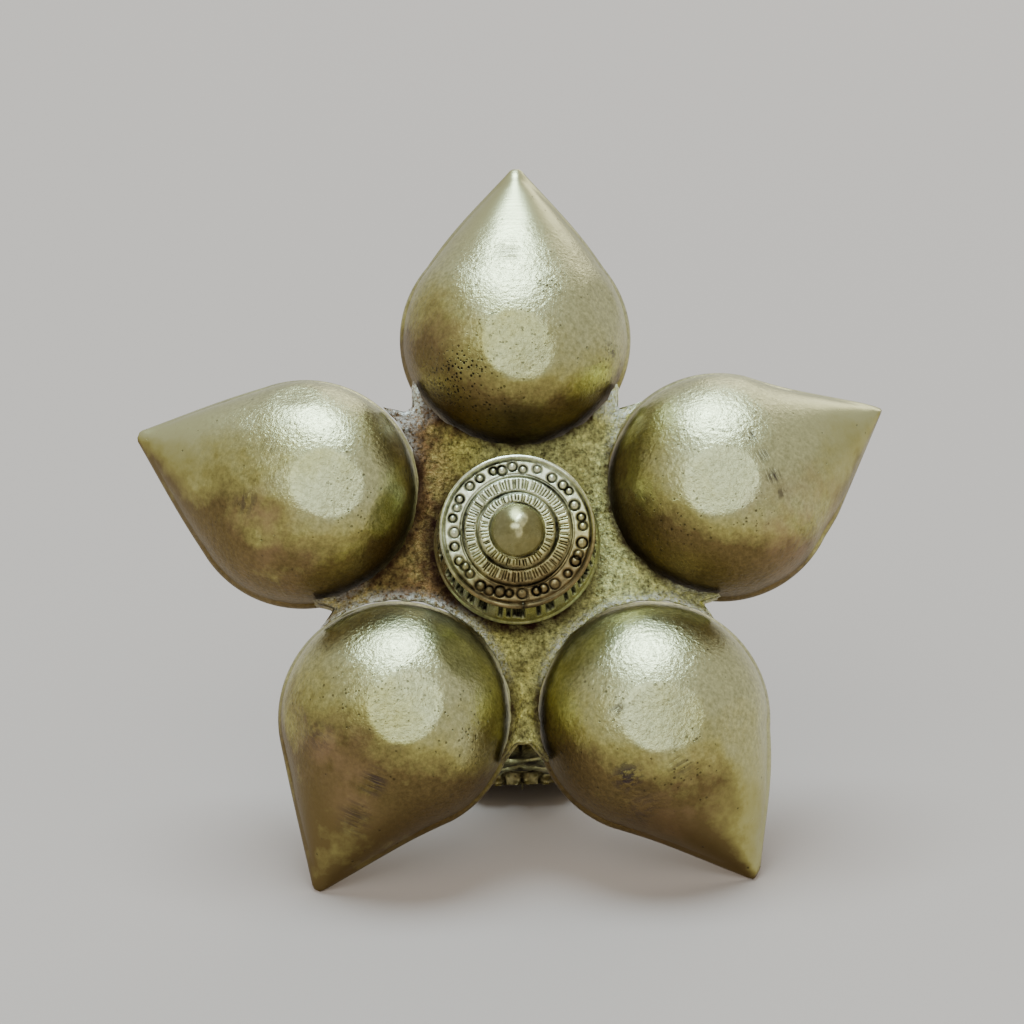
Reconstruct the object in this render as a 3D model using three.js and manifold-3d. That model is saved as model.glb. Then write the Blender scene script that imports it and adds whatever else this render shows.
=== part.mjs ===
// Hanging oil lamp: five spouted cups brazed round a cast web, a turned boss below,
// a peacock on a turned pedestal above, and a chain with a hook.
// Millimetres, +Z up. The lamp stands on the tips of its two lower spouts and leans back
// on its suspension eye; the chain runs back along the table.
import * as THREE from 'three';
import { mergeVertices } from 'three/addons/utils/BufferGeometryUtils.js';
import Module from 'manifold-3d';

const wasm = await Module();
wasm.setup();

// Gap left between two pieces that touch, and between chain wires.
const seatGap = 0.3;

// Oil cups, in the lamp's own frame as seen from below: x to the right, y towards the valley
// between the two standing spouts, z up as hung. Each cup was set and ground by hand, so it has
// its own bearing round the web, shift along it, twist of its spout, length of spout past the rim,
// bulge of the spout's two flanks (hollow where negative) and place of its ground foot.
const cupRadius = 23;
const cupDepth = 21;
const cupWall = 2.2;
const footRadius = 7;
const noseExtra = 1.1;
const cupPlans = [
  { name: 'cup_top', bearing: -88.7, shift: 0, twist: 0.6, spout: 12.5, flanks: [0.7, 0.7], foot: [0, 5.6] },
  {
    name: 'cup_right', bearing: -15.8, shift: -0.5, twist: -8, spout: 13, flanks: [0.7, -0.6],
    foot: [0, 2.6],
  },
  {
    name: 'cup_lower_right', bearing: 53.2, shift: 0, twist: 6.1, spout: 13.9, flanks: [-0.5, 0.9],
    foot: [0, 2.8],
  },
  {
    name: 'cup_lower_left', bearing: 127, shift: -1.7, twist: -11.2, spout: 13.8, flanks: [0.1, -0.5],
    foot: [1.8, 1.4],
  },
  {
    name: 'cup_left', bearing: 196.6, shift: 0.9, twist: 4.7, spout: 12, flanks: [0.3, 0.3],
    foot: [4.8, 1.8],
  },
];

// Cast web between the cups: its narrowest neck, its two faces, and how far each valley's edge
// lies past the cups' middles.
const webNeck = 4;
const webTop = -2;
const webThick = 4.6;
const webBottom = webTop - webThick;
const cupReach = (cupRadius + webNeck / 2) / Math.sin(Math.PI / cupPlans.length);
const webValleys = [
  { bearing: -54, past: -4 },
  { bearing: 18, past: -1 },
  { bearing: 90, past: 1 },
  { bearing: 162, past: -0.5 },
  { bearing: 234, past: -3.5 },
];

// Turned boss under the web, and the stud that clamps boss, web and pedestal.
const bossRadius = 16;
const bossFaceRadius = 15;
const bossHeight = 13.2;
const knobHeight = 4.6;
const studRadius = 4;
const studBelow = 10;
const studAbove = 13;

// Pedestal above the web, with a spigot that carries the bird.
const pedestalHeight = 24;
const pedestalRadius = 15;
const pedestalNeck = 6.5;
const spigotRadius = 3.4;
const spigotHeight = 8;

// Peacock, built on the top face of the pedestal.
const birdBase = webTop + seatGap + pedestalHeight + seatGap;
const birdTall = 91.5;
const saddleHeight = 51;
const saddleRadius = 6;

// Suspension eye screwed into the bird's back.
const postRadius = 2.6;
const postDepth = 9;
const eyeWire = 2;
const eyeBend = 6;
const eyeAbove = 28;
const eyeHeight = birdBase + saddleHeight + eyeAbove;

// Chain of bent wire links, hung from the eye.
const linkWire = 1.2;
const linkBend = 4.2;
const linkStraight = 12;
const linkRolls = [20, -55, 40, -45, 45, -45, 45, -45, 45, -45, 45, -45];
const linkYaws = [0, 1, 3, 6, 9, 11, 12, 11, 8, 5, 2, 0];

// Hanging hook at the far end of the chain.
const hookWire = 1.8;
const hookEyeBend = 4.6;
const hookBow = 11;
const hookShank = 32;
const hookRoll = 45;

// Middle and spout tip of each cup. The left standing spout is drawn out to the right one's line.
const cupSeats = cupPlans.map(({ name, bearing, shift, twist, spout, flanks, foot }) => {
  const outward = THREE.MathUtils.degToRad(bearing);
  const aim = outward + THREE.MathUtils.degToRad(twist);
  const x = (cupReach + shift) * Math.cos(outward);
  const y = (cupReach + shift) * Math.sin(outward);
  const length = cupRadius + spout;
  const tipX = x + length * Math.cos(aim);
  const tipY = y + length * Math.sin(aim);
  return { name, x, y, tipX, tipY, flanks, foot };
});
const [, , rightStand, leftStand] = cupSeats;
const drawnOut = (rightStand.tipY - leftStand.y) / (leftStand.tipY - leftStand.y);
leftStand.tipX = leftStand.x + (leftStand.tipX - leftStand.x) * drawnOut;
leftStand.tipY = rightStand.tipY;

// Slice through a cup at one depth: a ball drawn out to a cone with a blunt nose at the spout.
// A depth of 0 is the rim, and a depth of 1 is where the ball would end.
const outlineAngles = [0, 1.6, 8, 16, 25, 34, 43, 53, 66, 80, 95, 110, 125, 140, 155, 168, 180];
const roundAngles = [
  ...outlineAngles,
  ...outlineAngles.slice(1, -1).reverse().map((angle) => -angle),
];
function cupOutline(seat, radius, reach, depth, height, slide) {
  const aim = Math.atan2(seat.tipY - seat.y, seat.tipX - seat.x);
  const sharp = reach + noseExtra;
  const slope = radius ** 2 / (sharp ** 2 - radius ** 2);
  const round = radius * Math.sqrt(1 - depth ** 2);
  const tangent = Math.acos(Math.min(1, radius ** 2 / (sharp * round)));
  const rest = sharp ** 2 * slope - (radius * depth) ** 2;
  return roundAngles.map((degrees) => {
    const off = Math.abs(THREE.MathUtils.degToRad(degrees));
    let out = round;
    if (off < tangent) {
      const ahead = Math.cos(off);
      const linear = 2 * sharp * ahead * slope;
      const square = Math.sin(off) ** 2 - ahead ** 2 * slope;
      out = (2 * rest) / (linear + Math.sqrt(Math.max(0, linear ** 2 + 4 * square * rest)));
      const flank = seat.flanks[degrees > 0 ? 0 : 1];
      out += flank * Math.sin((Math.PI * off) / tangent) * (1 - depth);
      out = Math.min(out, reach / ahead);
    }
    const angle = aim + THREE.MathUtils.degToRad(degrees);
    const x = seat.x + seat.foot[0] * slide + out * Math.cos(angle);
    const y = seat.y + seat.foot[1] * slide + out * Math.sin(angle);
    return [x, y, height];
  });
}

// Rings of a cup's skin from the rim down to its flat foot.
const outerDepths = [0, 0.14, 0.32, 0.5, 0.67, 0.81, 0.91, 1];
const innerDepths = [0, 0.3, 0.58, 0.8, 0.93, 1];
function cupRings(seat, depths, radius, depth, foot, reach) {
  const ballShare = Math.sqrt(1 - (foot / radius) ** 2);
  return depths.map((t) => cupOutline(seat, radius, reach, t * ballShare, -depth * t, t ** 2));
}

// Lean of the lamp: the lowest edge of the spouts and the eye's lowest point both touch the table.
const reachOf = (seat) => Math.hypot(seat.tipX - seat.x, seat.tipY - seat.y);
const standLine = Math.max(...cupSeats.flatMap((seat) => (
  cupOutline(seat, cupRadius, reachOf(seat), 0, 0, 0).map((spot) => spot[1]))));
const eyeOuter = eyeBend + eyeWire;
const lean = Math.atan2(standLine, eyeHeight) - Math.asin(eyeOuter / Math.hypot(standLine, eyeHeight));

// Turns the lamp's own frame into the frame of the table.
const stand = new THREE.Matrix4().makeBasis(
  new THREE.Vector3(1, 0, 0),
  new THREE.Vector3(0, -Math.sin(lean), -Math.cos(lean)),
  new THREE.Vector3(0, Math.cos(lean), -Math.sin(lean)),
);
stand.setPosition(0, standLine * Math.sin(lean), standLine * Math.cos(lean));

const part = new THREE.Group();
part.name = 'hanging_peacock_oil_lamp';

// Welds equal points, drops flat triangles and turns the faces outwards.
function closed(geometry) {
  geometry.deleteAttribute('normal');
  geometry.deleteAttribute('uv');
  const welded = mergeVertices(geometry, 1e-4);
  const spots = welded.attributes.position;
  const index = welded.index.array;
  const faces = [];
  let volume = 0;
  for (let i = 0; i < index.length; i += 3) {
    const face = [index[i], index[i + 1], index[i + 2]];
    if (face[0] === face[1] || face[1] === face[2] || face[2] === face[0]) continue;
    faces.push(face);
    const [p, q, r] = face.map((corner) => new THREE.Vector3().fromBufferAttribute(spots, corner));
    volume += p.dot(q.cross(r));
  }
  if (volume < 0) faces.forEach((face) => face.reverse());
  welded.setIndex(faces.flat());
  return welded;
}

// Skins a row of rings, each with the same number of points; an end ring is closed by its middle.
function skinRings(rings, joined = false) {
  const size = rings[0].length;
  const positions = rings.flat();
  const triangles = [];
  const spans = joined ? rings.length : rings.length - 1;
  for (let row = 0; row < spans; row += 1) {
    const next = (row + 1) % rings.length;
    for (let k = 0; k < size; k += 1) {
      const k2 = (k + 1) % size;
      triangles.push([row * size + k, row * size + k2, next * size + k2]);
      triangles.push([row * size + k, next * size + k2, next * size + k]);
    }
  }
  if (!joined) {
    const ends = [[0, true], [rings.length - 1, false]];
    for (const [row, first] of ends) {
      const middle = [0, 1, 2].map((axis) => (
        rings[row].reduce((sum, point) => sum + point[axis], 0) / size));
      const centre = positions.length;
      positions.push(middle);
      for (let k = 0; k < size; k += 1) {
        const k2 = (k + 1) % size;
        triangles.push(first
          ? [row * size + k2, row * size + k, centre]
          : [row * size + k, row * size + k2, centre]);
      }
    }
  }
  const geometry = new THREE.BufferGeometry();
  geometry.setAttribute('position', new THREE.Float32BufferAttribute(positions.flat(), 3));
  geometry.setIndex(triangles.flat());
  return closed(geometry);
}

// Turns a profile of [radius, height] points, which starts and ends on the lamp's own axis.
function turned(profile, segments) {
  const points = profile.map(([radius, height]) => new THREE.Vector2(radius, height));
  return closed(new THREE.LatheGeometry(points, segments).rotateX(Math.PI / 2));
}

// Plate of one thickness, drawn out along +Z from the outline's plane.
function plate(outline, thickness) {
  const shape = new THREE.Shape(outline.map(([x, y]) => new THREE.Vector2(x, y)));
  return closed(new THREE.ExtrudeGeometry(shape, { depth: thickness, bevelEnabled: false }));
}

// Round section of a bent wire.
function wireSection(radius, sides) {
  const shape = new THREE.Shape();
  for (let k = 0; k < sides; k += 1) {
    const angle = (k / sides) * Math.PI * 2;
    const corner = [radius * Math.cos(angle), radius * Math.sin(angle)];
    if (k === 0) shape.moveTo(...corner);
    else shape.lineTo(...corner);
  }
  return shape;
}

function toManifold(geometry) {
  return new wasm.Manifold(new wasm.Mesh({
    numProp: 3,
    vertProperties: new Float32Array(geometry.attributes.position.array),
    triVerts: new Uint32Array(geometry.index.array),
  }));
}

// Plain round bar along the lamp's own axis, for boring holes.
function rod(radius, low, high, segments) {
  return toManifold(turned([[0, low], [radius, low], [radius, high], [0, high]], segments));
}

function fromManifold(solid) {
  const mesh = solid.getMesh();
  const geometry = new THREE.BufferGeometry();
  geometry.setAttribute('position', new THREE.Float32BufferAttribute(mesh.vertProperties, 3));
  geometry.setIndex(Array.from(mesh.triVerts));
  return geometry;
}

function addPiece(name, geometry, matrix, colour, roughness = 0.42) {
  geometry.applyMatrix4(matrix);
  geometry.computeVertexNormals();
  const material = new THREE.MeshStandardMaterial({ color: colour, metalness: 1, roughness });
  const mesh = new THREE.Mesh(geometry, material);
  mesh.name = name;
  part.add(mesh);
  return mesh;
}

// Cups: an outer and an inner skin, joined at the rim. Each plug cuts the cup's socket in the web.
const sockets = [];
for (const seat of cupSeats) {
  const reach = reachOf(seat);
  const outer = cupRings(seat, outerDepths, cupRadius, cupDepth, footRadius, reach).reverse();
  const innerRadius = cupRadius - cupWall;
  const innerReach = reach - cupWall * 1.55;
  const inner = cupRings(seat, innerDepths, innerRadius, cupDepth - cupWall, footRadius, innerReach);
  addPiece(seat.name, skinRings([...outer, ...inner]), stand, 0xa8945a, 0.38);
  const [plugRadius, plugDepth, plugFoot] = [cupRadius, cupDepth, footRadius].map((size) => size + seatGap);
  const plug = cupRings(seat, outerDepths, plugRadius, plugDepth, plugFoot, reach + seatGap);
  const above = plug[0].map(([x, y]) => [x, y, cupWall]);
  sockets.push(toManifold(skinRings([above, ...plug])));
}

// Web: a plate whose edge follows the valleys, with a socket for each cup and the stud's hole.
const webOutline = [];
for (let bearing = -90; bearing < 270; bearing += 6) {
  const nearest = webValleys.reduce((best, valley) => {
    const turn = Math.abs(((valley.bearing - bearing + 540) % 360) - 180);
    return turn < best.turn ? { turn, reach: cupReach + valley.past } : best;
  }, { turn: 360, reach: 0 });
  const angle = THREE.MathUtils.degToRad(bearing);
  webOutline.push([nearest.reach * Math.cos(angle), nearest.reach * Math.sin(angle)]);
}
let web = toManifold(plate(webOutline, webThick).translate(0, 0, webBottom));
for (const socket of sockets) web = web.subtract(socket);
web = web.subtract(rod(studRadius + seatGap, webBottom - 2, webTop + 2, 24));
addPiece('hub_web', fromManifold(web), stand, 0x9a7a32, 0.6);

// Boss: drum, bead, two engraved steps and a conical knob, bored from above for the stud.
const bossTop = webBottom - seatGap;
const bossFace = bossTop - bossHeight;
addPiece('base_boss', turned([
  [0, bossTop - studBelow - 1],
  [studRadius + seatGap, bossTop - studBelow - 1],
  [studRadius + seatGap, bossTop],
  [bossRadius, bossTop],
  [bossRadius + 0.2, bossTop - 1.2],
  [bossRadius - 0.1, bossTop - 1.6],
  [bossFaceRadius, bossFace + 1.6],
  [bossFaceRadius + 0.3, bossFace + 1],
  [bossFaceRadius - 0.3, bossFace],
  [bossFaceRadius * 0.72, bossFace - 0.5],
  [bossFaceRadius * 0.71, bossFace - 1.1],
  [bossFaceRadius * 0.53, bossFace - 1.5],
  [bossFaceRadius * 0.52, bossFace - 2.1],
  [bossFaceRadius * 0.37, bossFace - 2.3],
  [bossFaceRadius * 0.34, bossFace - 2.8],
  [0, bossFace - knobHeight],
], 32), stand, 0xb3a878, 0.35);

addPiece('clamp_stud', turned([
  [0, bossTop - studBelow],
  [studRadius - 0.5, bossTop - studBelow],
  [studRadius, bossTop - studBelow + 0.6],
  [studRadius, webTop + studAbove - 0.6],
  [studRadius - 0.5, webTop + studAbove],
  [0, webTop + studAbove],
], 24), stand, 0x8a8a86, 0.45);

// Pedestal: flange, cove, bead and saucer, bored from below, with the bird's spigot on top.
const pedestalFoot = webTop + seatGap;
const pedestalHead = pedestalFoot + pedestalHeight;
addPiece('pedestal', turned([
  [0, webTop + studAbove + 0.6],
  [studRadius + seatGap, webTop + studAbove + 0.6],
  [studRadius + seatGap, pedestalFoot],
  [pedestalRadius, pedestalFoot],
  [pedestalRadius, pedestalFoot + 2],
  [pedestalRadius - 2.5, pedestalFoot + 3.2],
  [pedestalNeck + 2, pedestalFoot + 5],
  [pedestalNeck, pedestalFoot + 8.5],
  [pedestalNeck + 0.8, pedestalFoot + 11.5],
  [pedestalNeck + 3, pedestalFoot + 13],
  [pedestalNeck + 3, pedestalFoot + 15],
  [pedestalNeck + 0.4, pedestalFoot + 16.6],
  [pedestalNeck + 1, pedestalFoot + 19],
  [pedestalNeck + 5, pedestalHead - 2],
  [pedestalNeck + 5, pedestalHead],
  [spigotRadius, pedestalHead],
  [spigotRadius, pedestalHead + spigotHeight - 0.5],
  [spigotRadius - 0.5, pedestalHead + spigotHeight],
  [0, pedestalHead + spigotHeight],
], 28), stand, 0xa38d52, 0.42);

// Peacock: a row of oval sections from rump to beak, [y, height, half height, half width],
// drawn for a bird 91.5 mm tall and sized to the bird's own height.
const birdSize = birdTall / 91.5;
const sized = (rows) => rows.map((row) => row.map((value) => value * birdSize));
const birdSections = sized([
  [27, 28, 2.5, 3],
  [23, 29, 8, 8],
  [14, 28, 13, 11.5],
  [2, 25, 15, 13],
  [-10, 25, 14.5, 12],
  [-20, 30, 12, 10],
  [-25, 40, 8.5, 7.5],
  [-25.5, 51, 6, 5.5],
  [-24, 61, 4.6, 4.4],
  [-22.5, 68, 4.4, 4.2],
  [-24, 74, 5.4, 4.8],
  [-28.5, 76.5, 4.8, 4.2],
  [-33, 76, 2.6, 2.4],
  [-38, 73.5, 0.9, 0.9],
]);
function birdBody() {
  const spine = birdSections.map(([y, height]) => new THREE.Vector3(0, y, birdBase + height));
  const sideways = new THREE.Vector3(1, 0, 0);
  const rings = birdSections.map(([, , tall, wide], i) => {
    const before = spine[Math.max(i - 1, 0)];
    const after = spine[Math.min(i + 1, spine.length - 1)];
    const along = after.clone().sub(before).normalize();
    const upright = new THREE.Vector3().crossVectors(sideways, along);
    const ring = [];
    for (let k = 0; k < 18; k += 1) {
      const angle = (k / 18) * Math.PI * 2;
      ring.push(spine[i].clone()
        .addScaledVector(sideways, Math.cos(angle) * wide)
        .addScaledVector(upright, Math.sin(angle) * tall)
        .toArray());
    }
    return ring;
  });
  return toManifold(skinRings(rings));
}

// Tail: a bent fan, [y, height, half width] from the rump to the scalloped feather ends.
const tailThick = 3.4;
const tailLine = sized([
  [14, 37, 7],
  [22, 36, 9],
  [29, 31.5, 11],
  [34.5, 25, 12.5],
  [38.5, 17.5, 13.5],
  [41, 10.5, 13],
]);
function birdTail() {
  const path = tailLine.map(([y, height]) => new THREE.Vector3(0, y, birdBase + height));
  const rings = path.map((point, i) => {
    const before = path[Math.max(i - 1, 0)];
    const after = path[Math.min(i + 1, path.length - 1)];
    const along = after.clone().sub(before).normalize();
    const out = new THREE.Vector3().crossVectors(along, new THREE.Vector3(1, 0, 0));
    const last = i === path.length - 1;
    const upper = [];
    const lower = [];
    for (let k = 0; k <= 12; k += 1) {
      const across = (k / 12) * 2 - 1;
      const scallop = last ? 2.6 * Math.abs(Math.cos(across * Math.PI * 1.5)) - 3 * across * across : 0;
      const base = point.clone().addScaledVector(along, scallop);
      const droop = -2.2 * across * across;
      base.x = across * tailLine[i][2];
      const thick = tailThick * (0.5 - 0.2 * across * across);
      upper.push(base.clone().addScaledVector(out, droop - thick).toArray());
      lower.push(base.clone().addScaledVector(out, droop + thick).toArray());
    }
    return [...upper, ...lower.reverse()];
  });
  return toManifold(skinRings(rings));
}

// Folded wing on one side of the body.
function birdWing(side) {
  const rings = [];
  for (let i = 0; i <= 6; i += 1) {
    const t = i / 6;
    const size = 0.15 + 0.85 * Math.sin(Math.PI * (0.06 + 0.88 * t));
    const ring = [];
    for (let k = 0; k < 12; k += 1) {
      const angle = (k / 12) * Math.PI * 2;
      ring.push([
        side * birdSize * (10 + 4.4 * size * Math.cos(angle)),
        birdSize * (-18 + 42 * t),
        birdBase + birdSize * (27 + 5 * t + 9.5 * size * Math.sin(angle)),
      ]);
    }
    rings.push(ring);
  }
  return toManifold(skinRings(rings));
}

// Crest: a thin fan of feathers standing on the head, outlined as [y, height].
const crestThick = 2.4;
function birdCrest() {
  const outline = sized([
    [-27, 79], [-30, 88], [-27.5, 90.5], [-25.5, 88.5], [-23.5, 91.5], [-21, 89],
    [-18.5, 90], [-17.5, 86.5], [-21, 77],
  ]);
  const crest = plate(outline, crestThick).translate(0, birdBase, -crestThick / 2);
  return toManifold(crest.applyMatrix4(new THREE.Matrix4().makeBasis(
    new THREE.Vector3(0, 1, 0), new THREE.Vector3(0, 0, 1), new THREE.Vector3(1, 0, 0),
  )));
}

let bird = birdBody();
bird = bird.add(birdTail()).add(birdWing(1)).add(birdWing(-1)).add(birdCrest());
bird = bird.add(toManifold(turned([
  [0, birdBase],
  [10.5, birdBase],
  [10.5, birdBase + 1.5],
  [7.5, birdBase + 4],
  [7.5, birdBase + 9],
  [10, birdBase + 15],
  [10, birdBase + 20],
  [0, birdBase + 20],
], 24)));
bird = bird.add(toManifold(turned([
  [0, birdBase + 34],
  [saddleRadius + 2, birdBase + 34],
  [saddleRadius, birdBase + 42],
  [saddleRadius, birdBase + saddleHeight],
  [0, birdBase + saddleHeight],
], 20)));
const spigotTop = birdBase - seatGap + spigotHeight;
bird = bird.subtract(rod(spigotRadius + seatGap, birdBase - 2, spigotTop + seatGap, 20));
const postFoot = birdBase + saddleHeight - postDepth;
bird = bird.subtract(rod(postRadius + seatGap, postFoot - seatGap, birdBase + saddleHeight + 2, 20));
addPiece('peacock_body', fromManifold(bird), stand, 0xa28a4c, 0.42);

// Suspension eye: a threaded post with a collar, bent into a ring across the lamp.
const saddleTop = birdBase + saddleHeight;
const eyeRing = new THREE.TorusGeometry(eyeBend, eyeWire, 10, 24);
eyeRing.rotateY(Math.PI / 2).translate(0, 0, eyeHeight);
const post = turned([
  [0, saddleTop - postDepth],
  [postRadius - 0.4, saddleTop - postDepth],
  [postRadius, saddleTop - postDepth + 0.6],
  [postRadius, saddleTop + seatGap],
  [postRadius + 2.2, saddleTop + seatGap],
  [postRadius + 2.2, saddleTop + seatGap + 2.4],
  [postRadius, saddleTop + seatGap + 3.4],
  [postRadius - 0.4, eyeHeight - eyeBend],
  [0, eyeHeight - eyeBend],
], 16);
const eye = toManifold(closed(eyeRing)).add(toManifold(post));
addPiece('hang_eye', fromManifold(eye), stand, 0x9c8a55, 0.45);

// Chain. Each link hangs from the bar before it; its run drops from the eye to the table.
const linkLength = linkStraight + 2 * linkBend;
const linkPitch = linkLength - 2 * linkWire - seatGap;
const eyeCentre = new THREE.Vector3(0, 0, eyeHeight).applyMatrix4(stand);
const restHeight = (roll) => linkBend * Math.abs(Math.sin(THREE.MathUtils.degToRad(roll))) + linkWire;
const hookHeight = hookEyeBend * Math.sin(THREE.MathUtils.degToRad(hookRoll)) + hookWire;

// Middle line of a link, from its near bar at the origin along +X.
function linkLoop() {
  const points = [];
  for (const [middle, from] of [[linkBend + linkStraight, -0.5], [linkBend, 0.5]]) {
    for (let k = 0; k <= 6; k += 1) {
      const angle = Math.PI * (from + k / 6);
      points.push(new THREE.Vector3(
        middle + linkBend * Math.cos(angle), linkBend * Math.sin(angle), 0,
      ));
    }
  }
  return points;
}

// Direction of a run along the table, and the two directions across it for a given roll.
function runFrame(yawDegrees, drop, rollDegrees, start) {
  const yaw = THREE.MathUtils.degToRad(yawDegrees);
  const roll = THREE.MathUtils.degToRad(rollDegrees);
  const level = Math.sqrt(1 - drop * drop);
  const along = new THREE.Vector3(Math.sin(yaw) * level, Math.cos(yaw) * level, -drop);
  const side = new THREE.Vector3(Math.cos(yaw), -Math.sin(yaw), 0);
  const up = new THREE.Vector3().crossVectors(side, along);
  const across = side.clone().multiplyScalar(Math.cos(roll)).addScaledVector(up, Math.sin(roll));
  const matrix = new THREE.Matrix4().makeBasis(
    along, across, new THREE.Vector3().crossVectors(along, across),
  );
  return { along, across, up, matrix: matrix.setPosition(start) };
}

// Wire bent into a closed loop that lies in its own XY plane.
function wireLoop(points, radius, sides) {
  const rings = points.map((spot, i) => {
    const before = points[(i + points.length - 1) % points.length];
    const after = points[(i + 1) % points.length];
    const along = after.clone().sub(before).normalize();
    const out = new THREE.Vector3(along.y, -along.x, 0);
    return wireSection(radius, sides).getPoints().map((corner) => (
      spot.clone().addScaledVector(out, corner.x).setZ(corner.y).toArray()));
  });
  return skinRings(rings, true);
}

const lastLink = linkRolls.length - 1;
const eyeBar = (along) => eyeCentre.clone().addScaledVector(along, eyeBend);
let bar = null;
let carrier = null;
linkRolls.forEach((roll, i) => {
  const first = i === 0;
  const reach = first ? eyeBend + linkLength - eyeWire - linkWire - seatGap : linkPitch;
  const from = first ? eyeCentre : bar;
  const next = linkRolls[Math.min(i + 1, lastLink)];
  let target = Math.max(restHeight(roll), restHeight(next));
  if (first) target = restHeight(next);
  if (i === lastLink) target = hookHeight;
  const drop = (from.z - target) / reach;
  const run = runFrame(linkYaws[i], drop, roll, from);
  bar = from.clone().addScaledVector(run.along, reach);
  const start = bar.clone().addScaledVector(run.along, -linkLength);
  run.matrix.setPosition(start);
  const name = `chain_link_${String(i + 1).padStart(2, '0')}`;
  const link = addPiece(name, wireLoop(linkLoop(), linkWire, 7), run.matrix, 0xa08a50, 0.45);
  link.userData.pivot = first ? eyeBar(run.along) : from.clone();
  link.userData.axis = first ? run.up.clone() : carrier.clone();
  carrier = run.across;
});

// Hook: a small closed eye, a neck that comes down to the table, and an open bow.
const hookEyeFrame = runFrame(0, 0, hookRoll, new THREE.Vector3());
const hookEye = closed(new THREE.TorusGeometry(hookEyeBend, hookWire, 9, 20));
hookEye.applyMatrix4(hookEyeFrame.matrix);
const lowered = hookWire - hookHeight;
const bowMiddle = hookEyeBend + hookShank;
const hookLine = [
  [0, hookEyeBend, 0],
  [0, hookEyeBend + 3, lowered * 0.25],
  [0, hookEyeBend + 8, lowered * 0.85],
  [0, hookEyeBend + 12, lowered],
  [-hookBow * 0.25, bowMiddle - hookBow * 1.25, lowered],
  [-hookBow * 0.7, bowMiddle - hookBow * 0.78, lowered],
];
for (let degrees = 195; degrees >= -25; degrees -= 20) {
  const angle = THREE.MathUtils.degToRad(degrees);
  hookLine.push([hookBow * Math.cos(angle), bowMiddle + hookBow * Math.sin(angle), lowered]);
}
hookLine.push([hookBow * 1.12, bowMiddle - hookBow * 0.72, lowered]);
const hookCurve = new THREE.CatmullRomCurve3(hookLine.map((spot) => new THREE.Vector3(...spot)));
const hookRod = closed(new THREE.ExtrudeGeometry(wireSection(hookWire, 9), {
  steps: 34, extrudePath: hookCurve, bevelEnabled: false,
}));
const hook = toManifold(hookEye).add(toManifold(hookRod));
const hookYaw = THREE.MathUtils.degToRad(linkYaws[lastLink]);
const hookAlong = new THREE.Vector3(Math.sin(hookYaw), Math.cos(hookYaw), 0);
const hookCentre = bar.clone().addScaledVector(hookAlong, hookEyeBend - hookWire - linkWire - seatGap);
const hookPlace = new THREE.Matrix4().makeRotationZ(-hookYaw).setPosition(hookCentre);
const hangingHook = addPiece('hanging_hook', fromManifold(hook), hookPlace, 0x9c8a55, 0.45);
hangingHook.userData.pivot = bar.clone();
hangingHook.userData.axis = carrier.clone();

// Origin at the middle of the footprint, on the table.
const bounds = new THREE.Box3().setFromObject(part);
const middle = bounds.getCenter(new THREE.Vector3());
const shift = new THREE.Vector3(-middle.x, -middle.y, -bounds.min.z);
for (const mesh of part.children) {
  mesh.geometry.translate(shift.x, shift.y, shift.z);
  if (mesh.userData.pivot) mesh.userData.pivot.add(shift);
}

export default part;
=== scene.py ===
import bpy
import math
import random
import numpy as np
from mathutils import Matrix, Vector


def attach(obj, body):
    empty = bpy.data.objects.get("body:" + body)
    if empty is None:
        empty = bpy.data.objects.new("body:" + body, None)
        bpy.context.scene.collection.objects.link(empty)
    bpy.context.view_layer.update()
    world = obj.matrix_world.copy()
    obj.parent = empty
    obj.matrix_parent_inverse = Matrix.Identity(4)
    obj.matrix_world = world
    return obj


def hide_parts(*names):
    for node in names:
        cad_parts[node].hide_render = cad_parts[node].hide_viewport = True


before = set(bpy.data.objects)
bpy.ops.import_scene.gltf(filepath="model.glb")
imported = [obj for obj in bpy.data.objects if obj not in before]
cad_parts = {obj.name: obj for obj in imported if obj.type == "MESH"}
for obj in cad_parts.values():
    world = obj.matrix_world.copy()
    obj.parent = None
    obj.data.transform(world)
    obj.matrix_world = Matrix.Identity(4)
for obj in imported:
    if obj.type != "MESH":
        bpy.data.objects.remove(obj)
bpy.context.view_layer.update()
mm = 0.001


# One row for each point of a mesh: its place, or its normal where kind is "normal".
def pointRows(mesh, kind="co"):
    flat = np.zeros(len(mesh.vertices) * 3, np.float32)
    mesh.vertices.foreach_get(kind, flat)
    return flat.reshape(-1, 3).astype(float)


def nodePoints(name):
    return pointRows(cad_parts[name].data)


# Middle of the box along a solid's own long, middle and short axes, and those axes.
def mainAxes(points):
    axes = np.linalg.eigh(np.cov(np.unique(points.round(6), axis=0).T))[1][:, ::-1].T
    spread = points @ axes.T
    return ((spread.max(0) + spread.min(0)) / 2) @ axes, axes


# The lamp's own frame, read from the CAD nodes:
# x to the right, y towards the valley between the standing spouts, z up as hung.
studMiddle, studAxes = mainAxes(nodePoints("clamp_stud"))
hungUp = studAxes[0] * np.sign(studAxes[0][1])
hungUp = Vector((0, hungUp[1], hungUp[2])).normalized()
lampX = Vector((1, 0, 0))
lampY = hungUp.cross(lampX)
rimHeight = max(Vector(point).dot(hungUp) for point in nodePoints("cup_top"))
studFoot = Vector(studMiddle)
lampOrigin = studFoot + hungUp * (rimHeight - studFoot.dot(hungUp))
lampFrame = Matrix((
    (lampX.x, lampY.x, hungUp.x, lampOrigin.x),
    (lampX.y, lampY.y, hungUp.y, lampOrigin.y),
    (lampX.z, lampY.z, hungUp.z, lampOrigin.z),
    (0, 0, 0, 1),
))
toLamp = lampFrame.inverted()
worldUp = np.array(toLamp.to_3x3() @ Vector((0, 0, 1)))
print("frame read, lamp leans", round(math.degrees(math.asin(-hungUp.z)), 2), "degrees")


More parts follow.
